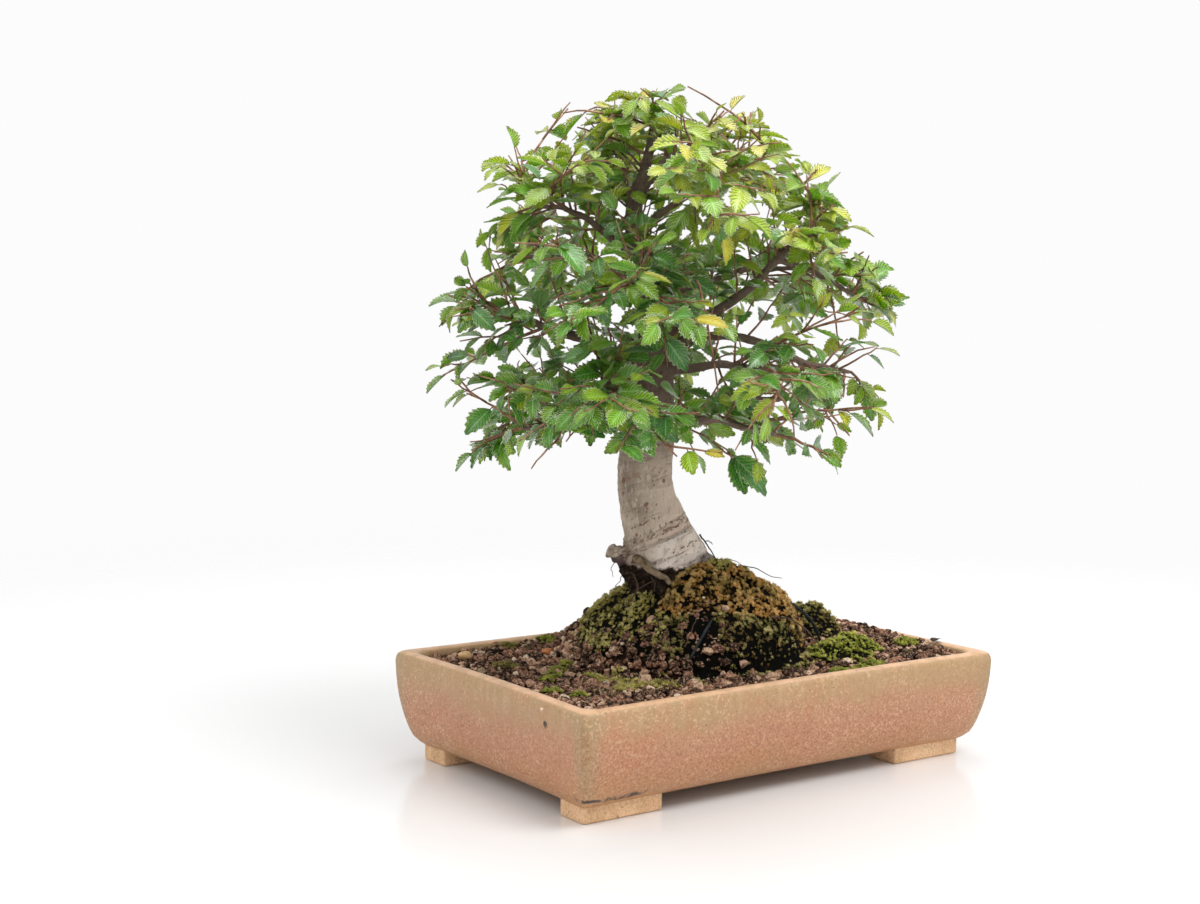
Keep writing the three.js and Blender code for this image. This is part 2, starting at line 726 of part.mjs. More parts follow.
// Where the leaves of a spray sit: by turns on the left and right of the twig, and one at its tip
const FIRST_LEAF = 0.22;
const LAST_LEAF = 0.97;
const LEAF_ADVANCE = 0.6;
const LEAF_SPREAD = 0.95;
const LEAF_SAG = 0.35;
const LEAF_SAG_SWAY = 0.4;
const LEAF_FACE_SWAY = 0.6;
const LEAF_FACE_UP = 0.6;
const LEAF_SIZE_FIRST = 1.08;
const LEAF_SIZE_LAST = 0.72;
const LEAF_SIZE_SWAY = 0.14;

function leafSeat(spray, line, number, attempt) {
  const last = LEAVES_A_SPRAY - 1;
  const share = number / last;
  const along = THREE.MathUtils.lerp(FIRST_LEAF, LAST_LEAF, share);
  const heading = line.getTangent(along);
  const outward = line.getPoint(along).sub(treePlace(...CROWN_CORE)).normalize();
  const beside = levelAcross(line);
  const hand = number % 2 === 0 ? 1 : -1;
  const atTip = number === last;
  const direction = heading.clone()
    .multiplyScalar(atTip ? 1 : LEAF_ADVANCE)
    .addScaledVector(beside, atTip ? 0 : hand * LEAF_SPREAD)
    .addScaledVector(UP, LEAF_SAG_SWAY * sway(spray, number, DRAW.leafSag, attempt) - LEAF_SAG)
    .normalize();
  const facing = new THREE.Vector3(
    LEAF_FACE_SWAY * sway(spray, number, DRAW.leafFaceX, attempt),
    LEAF_FACE_SWAY * sway(spray, number, DRAW.leafFaceY, attempt),
    LEAF_FACE_UP,
  ).add(outward);
  const face = facing.addScaledVector(direction, -facing.dot(direction)).normalize();
  const size = THREE.MathUtils.lerp(LEAF_SIZE_FIRST, LEAF_SIZE_LAST, share);
  const length = LEAF_LENGTH * size * (1 + LEAF_SIZE_SWAY * sway(spray, number, DRAW.leafSize));
  return { root: line.getPoint(along), along: direction, face, length };
}

function boxesMeet(one, other) {
  const a = one.boundingBox();
  const b = other.boundingBox();
  return [0, 1, 2].every((axis) => a.min[axis] <= b.max[axis] && b.min[axis] <= a.max[axis]);
}

// The crown reaches no further out than the pot's ends, and as far in front as behind
function insideCrown(solid) {
  const { min, max } = solid.boundingBox();
  const reach = Math.max(-min[0], max[0]);
  const depth = Math.max(-min[1], max[1]);
  return reach <= CROWN_REACH && depth <= CROWN_DEPTH;
}

const TWIG_ATTEMPTS = 12;
const LEAF_ATTEMPTS = 7;

function twigBody(line) {
  const radiusAt = (along) => THREE.MathUtils.lerp(TWIG_RADIUS, TWIG_TIP_RADIUS, along);
  return limb(line, levelAcross(line), radiusAt, TWIG_SIDES, TWIG_STEPS);
}

// A twig keeps clear of all that has grown before it, by a detour where it must, and then closes up
// to the bark that carries it
function freeTwig(number, seat, grown) {
  for (let attempt = 0; attempt < TWIG_ATTEMPTS; attempt += 1) {
    const free = twigLine(seat, number, attempt);
    const inward = free.getTangent(0).negate();
    const closer = clearRun(twigBody(free), inward, TRUNK_SOLID) - CLEARANCE;
    const line = twigLine({ ...seat, closer }, number, attempt);
    const twig = twigBody(line);
    if (!touches(twig, grown)) {
      return { line, twig };
    }
  }
  throw new Error(`spray ${number} finds no free way`);
}

// A leaf that would meet what has grown before it is turned, and after a few turns left out
function spray(number, seat, grown) {
  const { line, twig } = freeTwig(number, seat, grown);
  const leaves = [];
  for (let leaf = 0; leaf < LEAVES_A_SPRAY; leaf += 1) {
    for (let attempt = 0; attempt < LEAF_ATTEMPTS; attempt += 1) {
      const body = leafBody(leafSeat(number, line, leaf, attempt));
      const near = [...grown, ...leaves].filter((other) => boxesMeet(body, other));
      if (insideCrown(body) && !touches(body, near)) {
        leaves.push(body);
        break;
      }
    }
  }
  return mainBody(join([twig, ...leaves]));
}

// The whole plant in its pot

const WIRE_CUTTERS = TIE_WIRES.map((tie) => wire(tie, CLEARANCE));
const GROUND_CUTTERS = [rootCrown(CLEARANCE), ...WIRE_CUTTERS];
const SOIL_SOLID = soil(GROUND_CUTTERS);
const TRUNK_SOLID = trunk();

const bonsai = new THREE.Group();
bonsai.add(toMesh('pot', pot(), { color: 0xb98a63, roughness: 0.5, metalness: 0 }));
bonsai.add(toMesh('screen_left', drainScreen(-1), { color: 0x2c2f2c, roughness: 0.6, metalness: 0 }));
bonsai.add(toMesh('screen_right', drainScreen(1), { color: 0x2c2f2c, roughness: 0.6, metalness: 0 }));
bonsai.add(toMesh('soil', SOIL_SOLID, { color: 0x5f3a2a, roughness: 0.95, metalness: 0 }));
MOSS_PATCHES.forEach((patch, number) => {
  const look = { color: patch.color, roughness: 1, metalness: 0 };
  bonsai.add(toMesh(patch.name, mossPatch(number, GROUND_CUTTERS), look));
});
for (const stone of PEBBLES) {
  const look = { color: stone.color, roughness: 0.85, metalness: 0 };
  bonsai.add(toMesh(stone.name, pebble(stone, SOIL_SOLID), look));
}
for (const tie of TIE_WIRES) {
  bonsai.add(toMesh(tie.name, wire(tie), { color: 0x4a4e50, roughness: 0.5, metalness: 0.6 }));
}
bonsai.add(toMesh('trunk', TRUNK_SOLID, { color: 0x8d8072, roughness: 0.8, metalness: 0 }));

const grown = [TRUNK_SOLID];
spraySeats().forEach((seat, index) => {
  const body = spray(index + 1, seat, grown);
  grown.push(body);
  const name = `spray_${String(index + 1).padStart(2, '0')}`;
  bonsai.add(toMesh(name, body, { color: 0x3f7a2c, roughness: 0.45, metalness: 0 }));
});

export default bonsai;
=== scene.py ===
# A chinese elm bonsai in its pot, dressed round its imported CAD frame. The row frame is in metres, +Z
# up, with the pot's front long side at -Y. Sizes below are in millimetres, and each finished mesh is
# brought to metres. The tree has axes of its own, because its front looks out over the pot's front
# left corner: "across" runs to its right, "deep" away from its viewer, and "up" is Z.

import math

import bmesh
import bpy
from mathutils import Matrix, Vector, noise


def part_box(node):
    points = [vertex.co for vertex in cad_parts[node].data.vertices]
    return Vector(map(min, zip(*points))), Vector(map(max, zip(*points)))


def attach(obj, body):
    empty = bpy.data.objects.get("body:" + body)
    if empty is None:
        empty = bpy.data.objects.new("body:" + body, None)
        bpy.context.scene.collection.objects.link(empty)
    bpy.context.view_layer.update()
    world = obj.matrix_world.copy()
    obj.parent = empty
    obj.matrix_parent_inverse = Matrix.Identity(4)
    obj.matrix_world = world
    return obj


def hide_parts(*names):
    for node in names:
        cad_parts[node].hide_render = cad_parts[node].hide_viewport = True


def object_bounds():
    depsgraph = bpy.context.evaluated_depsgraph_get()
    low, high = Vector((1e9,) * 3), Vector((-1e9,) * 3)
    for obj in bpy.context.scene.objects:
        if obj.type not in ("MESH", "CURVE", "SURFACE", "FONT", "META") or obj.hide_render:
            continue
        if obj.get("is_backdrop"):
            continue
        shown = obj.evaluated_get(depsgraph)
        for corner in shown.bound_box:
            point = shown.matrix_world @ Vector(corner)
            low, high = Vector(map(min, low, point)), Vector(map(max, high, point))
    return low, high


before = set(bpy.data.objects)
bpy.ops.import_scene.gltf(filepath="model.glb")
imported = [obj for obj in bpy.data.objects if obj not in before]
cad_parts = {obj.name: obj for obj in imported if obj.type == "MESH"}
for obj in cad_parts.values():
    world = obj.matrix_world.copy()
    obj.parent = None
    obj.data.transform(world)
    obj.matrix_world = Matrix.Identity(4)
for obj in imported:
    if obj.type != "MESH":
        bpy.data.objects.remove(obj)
cad_low, cad_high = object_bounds()

# Pot. One low rectangular body of fired stoneware with a thick rim and belly walls, thrown from slabs,
# dipped in a speckled tan glaze and fired on its four feet, which stay bare clay.

MM = 0.001
WELD = 1e-5
POT_LENGTH = 254
POT_WIDTH = 166
SIDE_BOW = 2
POT_WOBBLE = 0.2
CORNER_STEPS = 6
LONG_STEPS = 30
SHORT_STEPS = 20

# Height, inset on the short sides, inset on the long sides and corner radius, from the middle of the
# underside up the wall, over the rim and down to the middle of the floor
POT_PROFILE = [
    (7.5, 70, 60, 3),
    (7.5, 10.8, 14.6, 3),
    (7.8, 9.6, 13.3, 3.2),
    (9.2, 7.8, 11, 3.4),
    (12, 5.6, 7.9, 3.5),
    (15, 4.5, 6.4, 3.5),
    (18, 3.7, 5.2, 3.5),
    (22, 2.8, 3.9, 3.5),
    (26, 2, 2.8, 3.5),
    (31, 1.2, 1.7, 3.5),
    (37, 0.6, 0.8, 3.5),
    (43, 0.2, 0.3, 3.5),
    (49, 0, 0, 3.5),
    (51.2, 0.25, 0.25, 3.5),
    (52.6, 0.8, 0.8, 3.6),
    (53.5, 1.8, 1.8, 3.8),
    (54, 3.4, 3.4, 4.4),
    (54, 5.2, 5.2, 5.6),
    (53.6, 6.8, 6.8, 7),
    (52.6, 7.9, 7.9, 8),
    (50.8, 8.5, 8.5, 9),
    (38, 9.1, 9.4, 9),
    (24, 10, 10.6, 9),
    (17, 13, 14.5, 9),
    (15, 17, 20, 9),
    (15, 70, 60, 3),
]
FOOT = Vector((44, 19, 11))
FEET_SPAN = Vector((233.8, 138))
FOOT_ROUNDING = 1.3
DRAIN_OFFSET = 62
DRAIN_RADIUS = 9
DRAIN_SIDES = 32
SMOOTH_ANGLE = math.radians(38)


def paint(code):
    """The linear colour of a six-letter code."""
    levels = [int(code[start:start + 2], 16) / 255 for start in (0, 2, 4)]
    return tuple(v / 12.92 if v <= 0.04045 else ((v + 0.055) / 1.055) ** 2.4 for v in levels) + (1,)


class Finish:
    """A procedural finish: one Principled shader and the nodes that feed it."""

    def __init__(self, name, **sockets):
        self.material = bpy.data.materials.new(name)
        self.material.use_nodes = True
        self.tree = self.material.node_tree
        self.shader = self.tree.nodes["Principled BSDF"]
        self.place = self.node("ShaderNodeTexCoord").outputs["Object"]
        self.feed(self.shader, {key.replace("_", " "): value for key, value in sockets.items()})

    def node(self, kind, **settings):
        made = self.tree.nodes.new(kind)
        for key, value in settings.items():
            setattr(made, key, value)
        return made

    def feed(self, node, inputs):
        for key, value in inputs.items():
            if isinstance(value, bpy.types.NodeSocket):
                self.tree.links.new(value, node.inputs[key])
            else:
                node.inputs[key].default_value = value

    def stretched(self, stretch):
        mapping = self.node("ShaderNodeMapping")
        self.feed(mapping, {"Vector": self.place, "Scale": stretch})
        return mapping.outputs["Vector"]

    def cloud(self, scale, detail=3.0, roughness=0.5, distortion=0.0, stretch=(1, 1, 1)):
        """Noise from about 0 to 1, with spots about 1/scale metres wide."""
        made = self.node("ShaderNodeTexNoise")
        self.feed(made, {
            "Vector": self.stretched(stretch),
            "Scale": scale,
            "Detail": detail,
            "Roughness": roughness,
            "Distortion": distortion,
        })
        return made.outputs[0]

    def cells(self, scale, stretch=(1, 1, 1), output="Distance"):
        made = self.node("ShaderNodeTexVoronoi")
        self.feed(made, {"Vector": self.stretched(stretch), "Scale": scale})
        return made.outputs[output]

    def axis(self, letter):
        made = self.node("ShaderNodeSeparateXYZ")
        self.feed(made, {"Vector": self.place})
        return made.outputs[letter]

    def near(self, spot, inner, outer):
        """1 within the inner reach of a place, in millimetres, and 0 past the outer."""
        made = self.node("ShaderNodeVectorMath", operation="DISTANCE")
        self.feed(made, {0: self.place, 1: Vector(spot) * MM})
        return self.fade(made.outputs["Value"], inner * MM, outer * MM, 1, 0)

    def own(self, name):
        """A number that the mesh carries at each vertex."""
        return self.node("ShaderNodeAttribute", attribute_name=name).outputs["Fac"]

    def calc(self, operation, first, second=0.0, third=0.0):
        made = self.node("ShaderNodeMath", operation=operation)
        self.feed(made, {0: first, 1: second, 2: third})
        return made.outputs[0]

    def fade(self, value, low, high, start=0.0, end=1.0):
        """Eases from start to end as the value goes from low to high."""
        made = self.node("ShaderNodeMapRange", interpolation_type="SMOOTHSTEP")
        self.feed(made, {"Value": value, "From Min": low, "From Max": high})
        self.feed(made, {"To Min": start, "To Max": end})
        return made.outputs[0]

    def ramp(self, value, stops):
        made = self.node("ShaderNodeValToRGB")
        points = made.color_ramp.elements
        while len(points) < len(stops):
            points.new(0.5)
        for point, (position, code) in zip(points, stops):
            point.position = position
            point.color = paint(code)
        self.feed(made, {"Fac": value})
        return made.outputs["Color"]

    def mix(self, factor, first, second, blend="MIX"):
        made = self.node("ShaderNodeMix", data_type="RGBA", blend_type=blend)
        first, second = (paint(c) if isinstance(c, str) else c for c in (first, second))
        self.feed(made, {0: factor, 6: first, 7: second})
        return made.outputs[2]

    def colour(self, value):
        self.feed(self.shader, {"Base Color": value})

    def rough(self, value, low, high):
        self.feed(self.shader, {"Roughness": self.fade(value, 0.25, 0.75, low, high)})

    def relief(self, *layers):
        """Bumps of the given heights, each with its depth in millimetres at height 1."""
        normal = None
        for height, depth in layers:
            made = self.node("ShaderNodeBump")
            self.feed(made, {"Height": height, "Distance": depth * MM})
            if normal:
                self.feed(made, {"Normal": normal})
            normal = made.outputs["Normal"]
        self.feed(self.shader, {"Normal": normal})


def wrapped_skin(bm, columns, rows, place, finish=0):
    """A closed skin over rings of points. The rule gives each point, and its first and last ring are
    one point each."""
    made = bmesh.ops.create_grid(bm, x_segments=columns, y_segments=rows, size=1)["verts"]
    for face in {face for vert in made for face in vert.link_faces}:
        face.material_index = finish
    for vert in made:
        column = round((vert.co.x + 1) / 2 * columns) % columns
        row = round((vert.co.y + 1) / 2 * rows)
        vert.co = place(column, row)
    bmesh.ops.remove_doubles(bm, verts=made, dist=WELD)


def finish_piece(name, bm, finishes, replaces=()):
    """Makes a mesh drawn in millimetres a piece of the object, in metres."""
    bmesh.ops.scale(bm, vec=Vector((MM, MM, MM)), verts=bm.verts)
    mesh = bpy.data.meshes.new(name)
    bm.to_mesh(mesh)
    bm.free()
    mesh.shade_smooth()
    for finish in finishes:
        mesh.materials.append(finish.material)
    piece = bpy.data.objects.new(name, mesh)
    bpy.context.scene.collection.objects.link(piece)
    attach(piece, "root")
    if replaces:
        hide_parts(*replaces)
    return piece


def pot_ring(height, inset_long, inset_wide, corner):
    """One level of the pot: a rectangle with round corners, whose sides bow in a little."""
    half_x = POT_LENGTH / 2 - inset_long
    half_y = POT_WIDTH / 2 - inset_wide
    signs = [(1, -1), (1, 1), (-1, 1), (-1, -1)]

    def corner_point(number, angle):
        return Vector((
            signs[number][0] * (half_x - corner) + corner * math.cos(angle),
            signs[number][1] * (half_y - corner) + corner * math.sin(angle),
            height,
        ))

    ring = []
    for number in range(4):
        start_angle = (number - 1) * math.pi / 2
        for step in range(CORNER_STEPS + 1):
            ring.append(corner_point(number, start_angle + step / CORNER_STEPS * math.pi / 2))
        start = ring[-1]
        end = corner_point((number + 1) % 4, start_angle + math.pi / 2)
        run = end - start
        inward = Vector((-run.y, run.x, 0)).normalized()
        side_steps = LONG_STEPS if number % 2 else SHORT_STEPS
        for step in range(1, side_steps):
            share = step / side_steps
            bow = SIDE_BOW * (1 - (2 * share - 1) ** 2)
            ring.append(start.lerp(end, share) + inward * bow)
    return ring


def hand_made(point):
    """Draws a point of the wall in a little, unevenly, as hand-pressed clay is."""
    flat = Vector((point.x, point.y, 0))
    if flat.length < 1:
        return point
    sink = POT_WOBBLE * (0.5 + 0.5 * noise.noise(point * 0.035))
    return point - flat.normalized() * sink


def build_pot():
    bm = bmesh.new()
    rings = [[hand_made(point) for point in pot_ring(*level)] for level in POT_PROFILE]
    last = len(rings) + 1

    def place(column, row):
        if row == 0:
            return Vector((0, 0, POT_PROFILE[0][0]))
        if row == last:
            return Vector((0, 0, POT_PROFILE[-1][0]))
        return rings[row - 1][column]

    wrapped_skin(bm, len(rings[0]), last, place)
    bmesh.ops.recalc_face_normals(bm, faces=bm.faces)
    return bm


def add_feet(mesh):
    """Four blocks of bare clay, pressed onto the underside."""
    bm = bmesh.new()
    bm.from_mesh(mesh)
    for side_x in (-1, 1):
        for side_y in (-1, 1):
            middle = Vector((
                side_x * (FEET_SPAN.x - FOOT.x) / 2,
                side_y * (FEET_SPAN.y - FOOT.y) / 2,
                FOOT.z / 2,
            ))
            shape = Matrix.Translation(middle * MM) @ Matrix.Diagonal((*(FOOT * MM), 1))
            cube = bmesh.ops.create_cube(bm, size=1, matrix=shape)["verts"]
            edges = list({edge for vert in cube for edge in vert.link_edges})
            made = bmesh.ops.bevel(
                bm, geom=edges, offset=FOOT_ROUNDING * MM, segments=3, profile=0.5,
                affect="EDGES", material=-1, clamp_overlap=True,
            )
            touched = {face for vert in made["verts"] for face in vert.link_faces}
            for face in touched:
                face.material_index = 1
    bm.to_mesh(mesh)
    bm.free()


glaze = Finish("speckled_glaze", Roughness=0.48, Coat_Weight=0.2, Coat_Roughness=0.3)
height = glaze.calc("DIVIDE", glaze.axis("Z"), 54 * MM)
drift = glaze.cloud(22, 4, 0.6)
level = glaze.calc("ADD", height, glaze.calc("MULTIPLY", glaze.calc("SUBTRACT", drift, 0.5), 0.5))
body = glaze.ramp(level, [
    (0.1, "b48453"),
    (0.3, "b67f56"),
    (0.52, "b67d5c"),
    (0.7, "b48460"),
    (0.82, "af8a62"),
    (0.95, "ad8c62"),
])
blush = glaze.fade(glaze.cloud(38, 5, 0.7, 0.6), 0.48, 0.68)
body = glaze.mix(glaze.calc("MULTIPLY", blush, 0.4), body, "b97752")
streak = glaze.fade(glaze.cloud(330, 3, 0.5, stretch=(1, 1, 0.12)), 0.45, 0.7)
band = glaze.fade(height, 0.7, 0.88)
body = glaze.mix(glaze.calc("MULTIPLY", glaze.calc("MULTIPLY", streak, band), 0.3), body, "c9a684")
near_x = glaze.fade(glaze.calc("ABSOLUTE", glaze.axis("X")), 112 * MM, 124 * MM)
near_y = glaze.fade(glaze.calc("ABSOLUTE", glaze.axis("Y")), 68 * MM, 80 * MM)
corner = glaze.calc("MULTIPLY", near_x, near_y)
body = glaze.mix(glaze.calc("MULTIPLY", corner, 0.65), body, "a08a64")
edge_x = glaze.fade(glaze.calc("ABSOLUTE", glaze.axis("X")), 122.5 * MM, 124.5 * MM)
edge_y = glaze.fade(glaze.calc("ABSOLUTE", glaze.axis("Y")), 78.5 * MM, 80.5 * MM)
edge = glaze.calc("MULTIPLY", edge_x, edge_y)
edge = glaze.calc("MULTIPLY", edge, glaze.fade(glaze.cloud(60, 3, 0.6), 0.35, 0.55))
body = glaze.mix(glaze.calc("MULTIPLY", edge, glaze.fade(height, 0.4, 0.6, 0, 0.5)), body, "9c6a3c")
grains = glaze.cells(1150, output="Color")
grainy = glaze.cloud(850, 5, 0.8)
grain_share = glaze.fade(level, 0.86, 0.6, 0.3, 1)
body = glaze.mix(glaze.calc("MULTIPLY", glaze.fade(grainy, 0.5, 0.36, 0, 0.6), grain_share), body, "80502e")
body = glaze.mix(glaze.calc("MULTIPLY", glaze.fade(grainy, 0.51, 0.64, 0, 0.55), grain_share), body, "dfb48c")
speckled = glaze.fade(glaze.cloud(26, 3), 0.4, 0.6, 0.12, 0.55)
fleck = glaze.calc("MULTIPLY", glaze.fade(grains, 0.66, 0.9), speckled)
body = glaze.mix(fleck, body, "e0b693")
fleck = glaze.calc("MULTIPLY", glaze.fade(glaze.cloud(900, 2), 0.62, 0.72), 0.55)
body = glaze.mix(fleck, body, "8a5a3c")
rim = glaze.fade(glaze.axis("Z"), 52.6 * MM, 53.7 * MM)
rim_worn = glaze.calc("MULTIPLY", rim, glaze.fade(glaze.cloud(160, 4), 0.35, 0.6, 0.45, 0.95))
body = glaze.mix(rim_worn, body, "ddb18c")
scuff = glaze.fade(glaze.cloud(75, 6, 0.75, 1.8), 0.615, 0.66)
body = glaze.mix(glaze.calc("MULTIPLY", scuff, 0.4), body, "dcc0a6")
pit_seed = glaze.fade(glaze.cloud(30, 2), 0.5, 0.62)
pit = glaze.fade(glaze.cells(240), 0.1, 0.055)
pits = glaze.calc("MULTIPLY", pit, pit_seed)
mark = glaze.fade(glaze.cloud(520, 3), 0.4, 0.5)
mark = glaze.calc("MULTIPLY", glaze.near((-125.9, -50.8, 42.8), 1.3, 2.2), mark)
pits = glaze.calc("MAXIMUM", pits, mark)
pale_mark = glaze.fade(glaze.cloud(500, 3), 0.5, 0.6)
pale_mark = glaze.calc("MULTIPLY", glaze.near((-126.6, -48.1, 49.1), 1.2, 2.2), pale_mark)
body = glaze.mix(pale_mark, body, "ead2b4")
body = glaze.mix(pits, body, "3a2618")
scorch_rise = glaze.calc("MULTIPLY_ADD", glaze.cloud(70, 3), 5 * MM, 9.4 * MM)
scorch_gap = glaze.calc("ABSOLUTE", glaze.calc("SUBTRACT", glaze.axis("Z"), scorch_rise))
scorch_height = glaze.fade(scorch_gap, 1.5 * MM, 0.4 * MM)
scorch = glaze.calc("MULTIPLY", scorch_height, glaze.fade(glaze.axis("X"), -84 * MM, -92 * MM))
scorch = glaze.calc("MULTIPLY", scorch, glaze.fade(glaze.axis("Y"), -66 * MM, -72 * MM))
scorch = glaze.calc("MULTIPLY", scorch, glaze.fade(glaze.cloud(260, 4, 0.7), 0.36, 0.5))
body = glaze.mix(scorch, body, "2f2118")
under = glaze.fade(glaze.axis("Z"), 8.4 * MM, 7.6 * MM)
body = glaze.mix(under, body, "b98d62")
glaze.colour(body)
glaze.rough(glaze.cloud(90, 4), 0.42, 0.62)
glaze.relief(
    (glaze.cloud(520, 3), 0.16),
    (grains, 0.05),
    (glaze.calc("SUBTRACT", 0.0, pits), 0.5),
    (glaze.calc("SUBTRACT", 0.0, rim_worn), 0.1),
)

bare_clay = Finish("bare_clay", Roughness=0.88, Specular_IOR_Level=0.3)
tone = bare_clay.cloud(60, 5, 0.65)
body = bare_clay.ramp(tone, [(0.25, "c49c74"), (0.5, "e8be94"), (0.75, "f6d2aa")])
grainy = bare_clay.cloud(900, 5, 0.8)
body = bare_clay.mix(bare_clay.fade(grainy, 0.5, 0.36, 0, 0.55), body, "9a6c42")
body = bare_clay.mix(bare_clay.fade(grainy, 0.51, 0.64, 0, 0.5), body, "f6dcb8")
stain = bare_clay.fade(bare_clay.cloud(120, 5, 0.7, 1.5), 0.6, 0.68)
body = bare_clay.mix(bare_clay.calc("MULTIPLY", stain, 0.5), body, "54402c")
bare_clay.colour(body)
bare_clay.relief((bare_clay.cloud(700, 4, 0.6), 0.25), (bare_clay.cloud(160, 3), 0.3))

pot = finish_piece("pot_body", build_pot(), [glaze, bare_clay], ["pot"])
drills = bmesh.new()
for side in (-1, 1):
    bmesh.ops.create_cone(
        drills, cap_ends=True, segments=DRAIN_SIDES, radius1=DRAIN_RADIUS * MM, radius2=DRAIN_RADIUS * MM,
        depth=40 * MM, matrix=Matrix.Translation((side * DRAIN_OFFSET * MM, 0, 12 * MM)),
    )
drill_mesh = bpy.data.meshes.new("drills")
drills.to_mesh(drill_mesh)
drills.free()
drill = bpy.data.objects.new("drills", drill_mesh)
bpy.context.scene.collection.objects.link(drill)
bore = pot.modifiers.new("bore", "BOOLEAN")
bore.operation = "DIFFERENCE"
bore.object = drill


def apply_modifiers(piece):
    """Makes a piece's mesh what its modifiers show, and takes them off."""
    graph = bpy.context.evaluated_depsgraph_get()
    shaped = bpy.data.meshes.new_from_object(piece.evaluated_get(graph))
    piece.modifiers.clear()
    piece.data = shaped


apply_modifiers(pot)
bpy.data.objects.remove(drill)
add_feet(pot.data)
pot.data.shade_smooth()
pot.data.set_sharp_from_angle(angle=SMOOTH_ANGLE)

# Drain screens. Two squares of black plastic mesh, cut with scissors and laid over the drain holes
# before the granules go in.

SCREEN_SIZE = 33.6
SCREEN_CELLS = 11
SCREEN_BAR = 0.8
SCREEN_MIDDLE = 15.8

screen_plastic = Finish("screen_plastic", Roughness=0.6)
screen_plastic.colour(screen_plastic.ramp(screen_plastic.cloud(300, 3), [(0.3, "1b1d1a"), (0.7, "30332e")]))
screen_plastic.relief((screen_plastic.cloud(900, 2), 0.1))
for name, side in (("left", -1), ("right", 1)):
    bm = bmesh.new()
    middle = Matrix.Translation((side * DRAIN_OFFSET, 0, SCREEN_MIDDLE))
    bmesh.ops.create_grid(
        bm, x_segments=SCREEN_CELLS, y_segments=SCREEN_CELLS, size=SCREEN_SIZE / 2, matrix=middle,
    )
    bmesh.ops.wireframe(
        bm, faces=bm.faces, thickness=SCREEN_BAR, use_replace=True, use_boundary=True,
        use_even_offset=True,
    )
    bmesh.ops.recalc_face_normals(bm, faces=bm.faces)
    finish_piece(f"drain_screen_{name}", bm, [screen_plastic], [f"screen_{name}"])

# Soil. Red-brown granules of fired clay, 2 to 7 mm in size, poured in and pressed to a mound under the
# tree. One closed fill lies under a layer of loose granules.

TREE_TURN = math.radians(-35.75)
SOIL_LEVEL = 50.5
SOIL_RISE = 0.06
SOIL_LOW = 48
SOIL_HIGH = 54.5
MOUND_TOP = 92
MOUND_MIDDLE = Vector((4, 4))
MOUND_LEFT = 66
MOUND_RIGHT = 56
MOUND_FRONT = 50
MOUND_BACK = 82
MOUND_FULLNESS = 0.75
MOUND_LEAN = 0.35
CREST_MIDDLE = Vector((-15, -18))
CREST_RISE = 10
CREST_REACH = 31
SOIL_RINGS = 46
SOIL_WALL = [(50, 8.9), (24, 10.9), (15.4, 20)]
SOIL_SINK = 1.6
GRANULE_PITCH = 3.3
GRANULE_BREAKS = 5
GRANULE_EDGE = math.radians(34)
GRANULE_ROOM_X = 115.5
GRANULE_ROOM_Y = 71.5
SEED = 1947
WHOLE = 0xFFFFFFFF
UP = Vector((0, 0, 1))

# Blender starts its vector noise from the clock unless it is given a seed
noise.seed_set(SEED)


def chance(*keys):
    """A draw from 0 to 1 that is always the same for the same whole numbers."""
    mix = SEED
    for key in keys:
        mix = ((mix ^ (key + 101)) * 0x9E3779B1) & WHOLE
        mix ^= mix >> 15
        mix = (mix * 0x85EBCA6B) & WHOLE
        mix ^= mix >> 13
    return mix / 2**32


def sway(*keys):
    """The same draw, spread evenly to both sides of zero."""
    return 2 * chance(*keys) - 1


def lerp(start, end, share):
    return start + (end - start) * share


def clamp(value, low, high):
    return min(max(value, low), high)


def tree_place(across, deep, up):
    """A place given in the tree's own axes."""
    return Matrix.Rotation(TREE_TURN, 3, "Z") @ Vector((across, deep, up))


def tree_axes(place):
    """A place as across, deep and up."""
    return Matrix.Rotation(-TREE_TURN, 3, "Z") @ place


def ground_height(x, y):
    """The smooth shape of the ground: nearly level, with a steep blunt mound that is heaped up against
    the front of the trunk."""
    deep = tree_axes(Vector((x, y, 0))).y
    level = clamp(SOIL_LEVEL + SOIL_RISE * deep, SOIL_LOW, SOIL_HIGH)
    crest_out = min(1, (Vector((x, y)) - CREST_MIDDLE).length / CREST_REACH)
    crest = CREST_RISE * (1 - crest_out**2) ** 2
    u = (x - MOUND_MIDDLE.x) / (MOUND_LEFT if x < MOUND_MIDDLE.x else MOUND_RIGHT)
    v = (y - MOUND_MIDDLE.y) / (MOUND_FRONT if y < MOUND_MIDDLE.y else MOUND_BACK)
    out = math.hypot(u, v)
    if out >= 1:
        return level + crest
    lean = (u - v) / max(abs(u) + abs(v), WELD)
    share = (1 - out * out) ** (MOUND_FULLNESS - MOUND_LEAN * lean)
    return level + crest + (MOUND_TOP - level) * share


def ground_slope(x, y):
    """The upward normal of the ground."""
    reach = 1.5
    rise_x = (ground_height(x + reach, y) - ground_height(x - reach, y)) / (2 * reach)
    rise_y = (ground_height(x, y + reach) - ground_height(x, y - reach)) / (2 * reach)
    return Vector((-rise_x, -rise_y, 1)).normalized()


def lumps(x, y, size):
    return noise.noise(Vector((x / size, y / size, 3.7)))


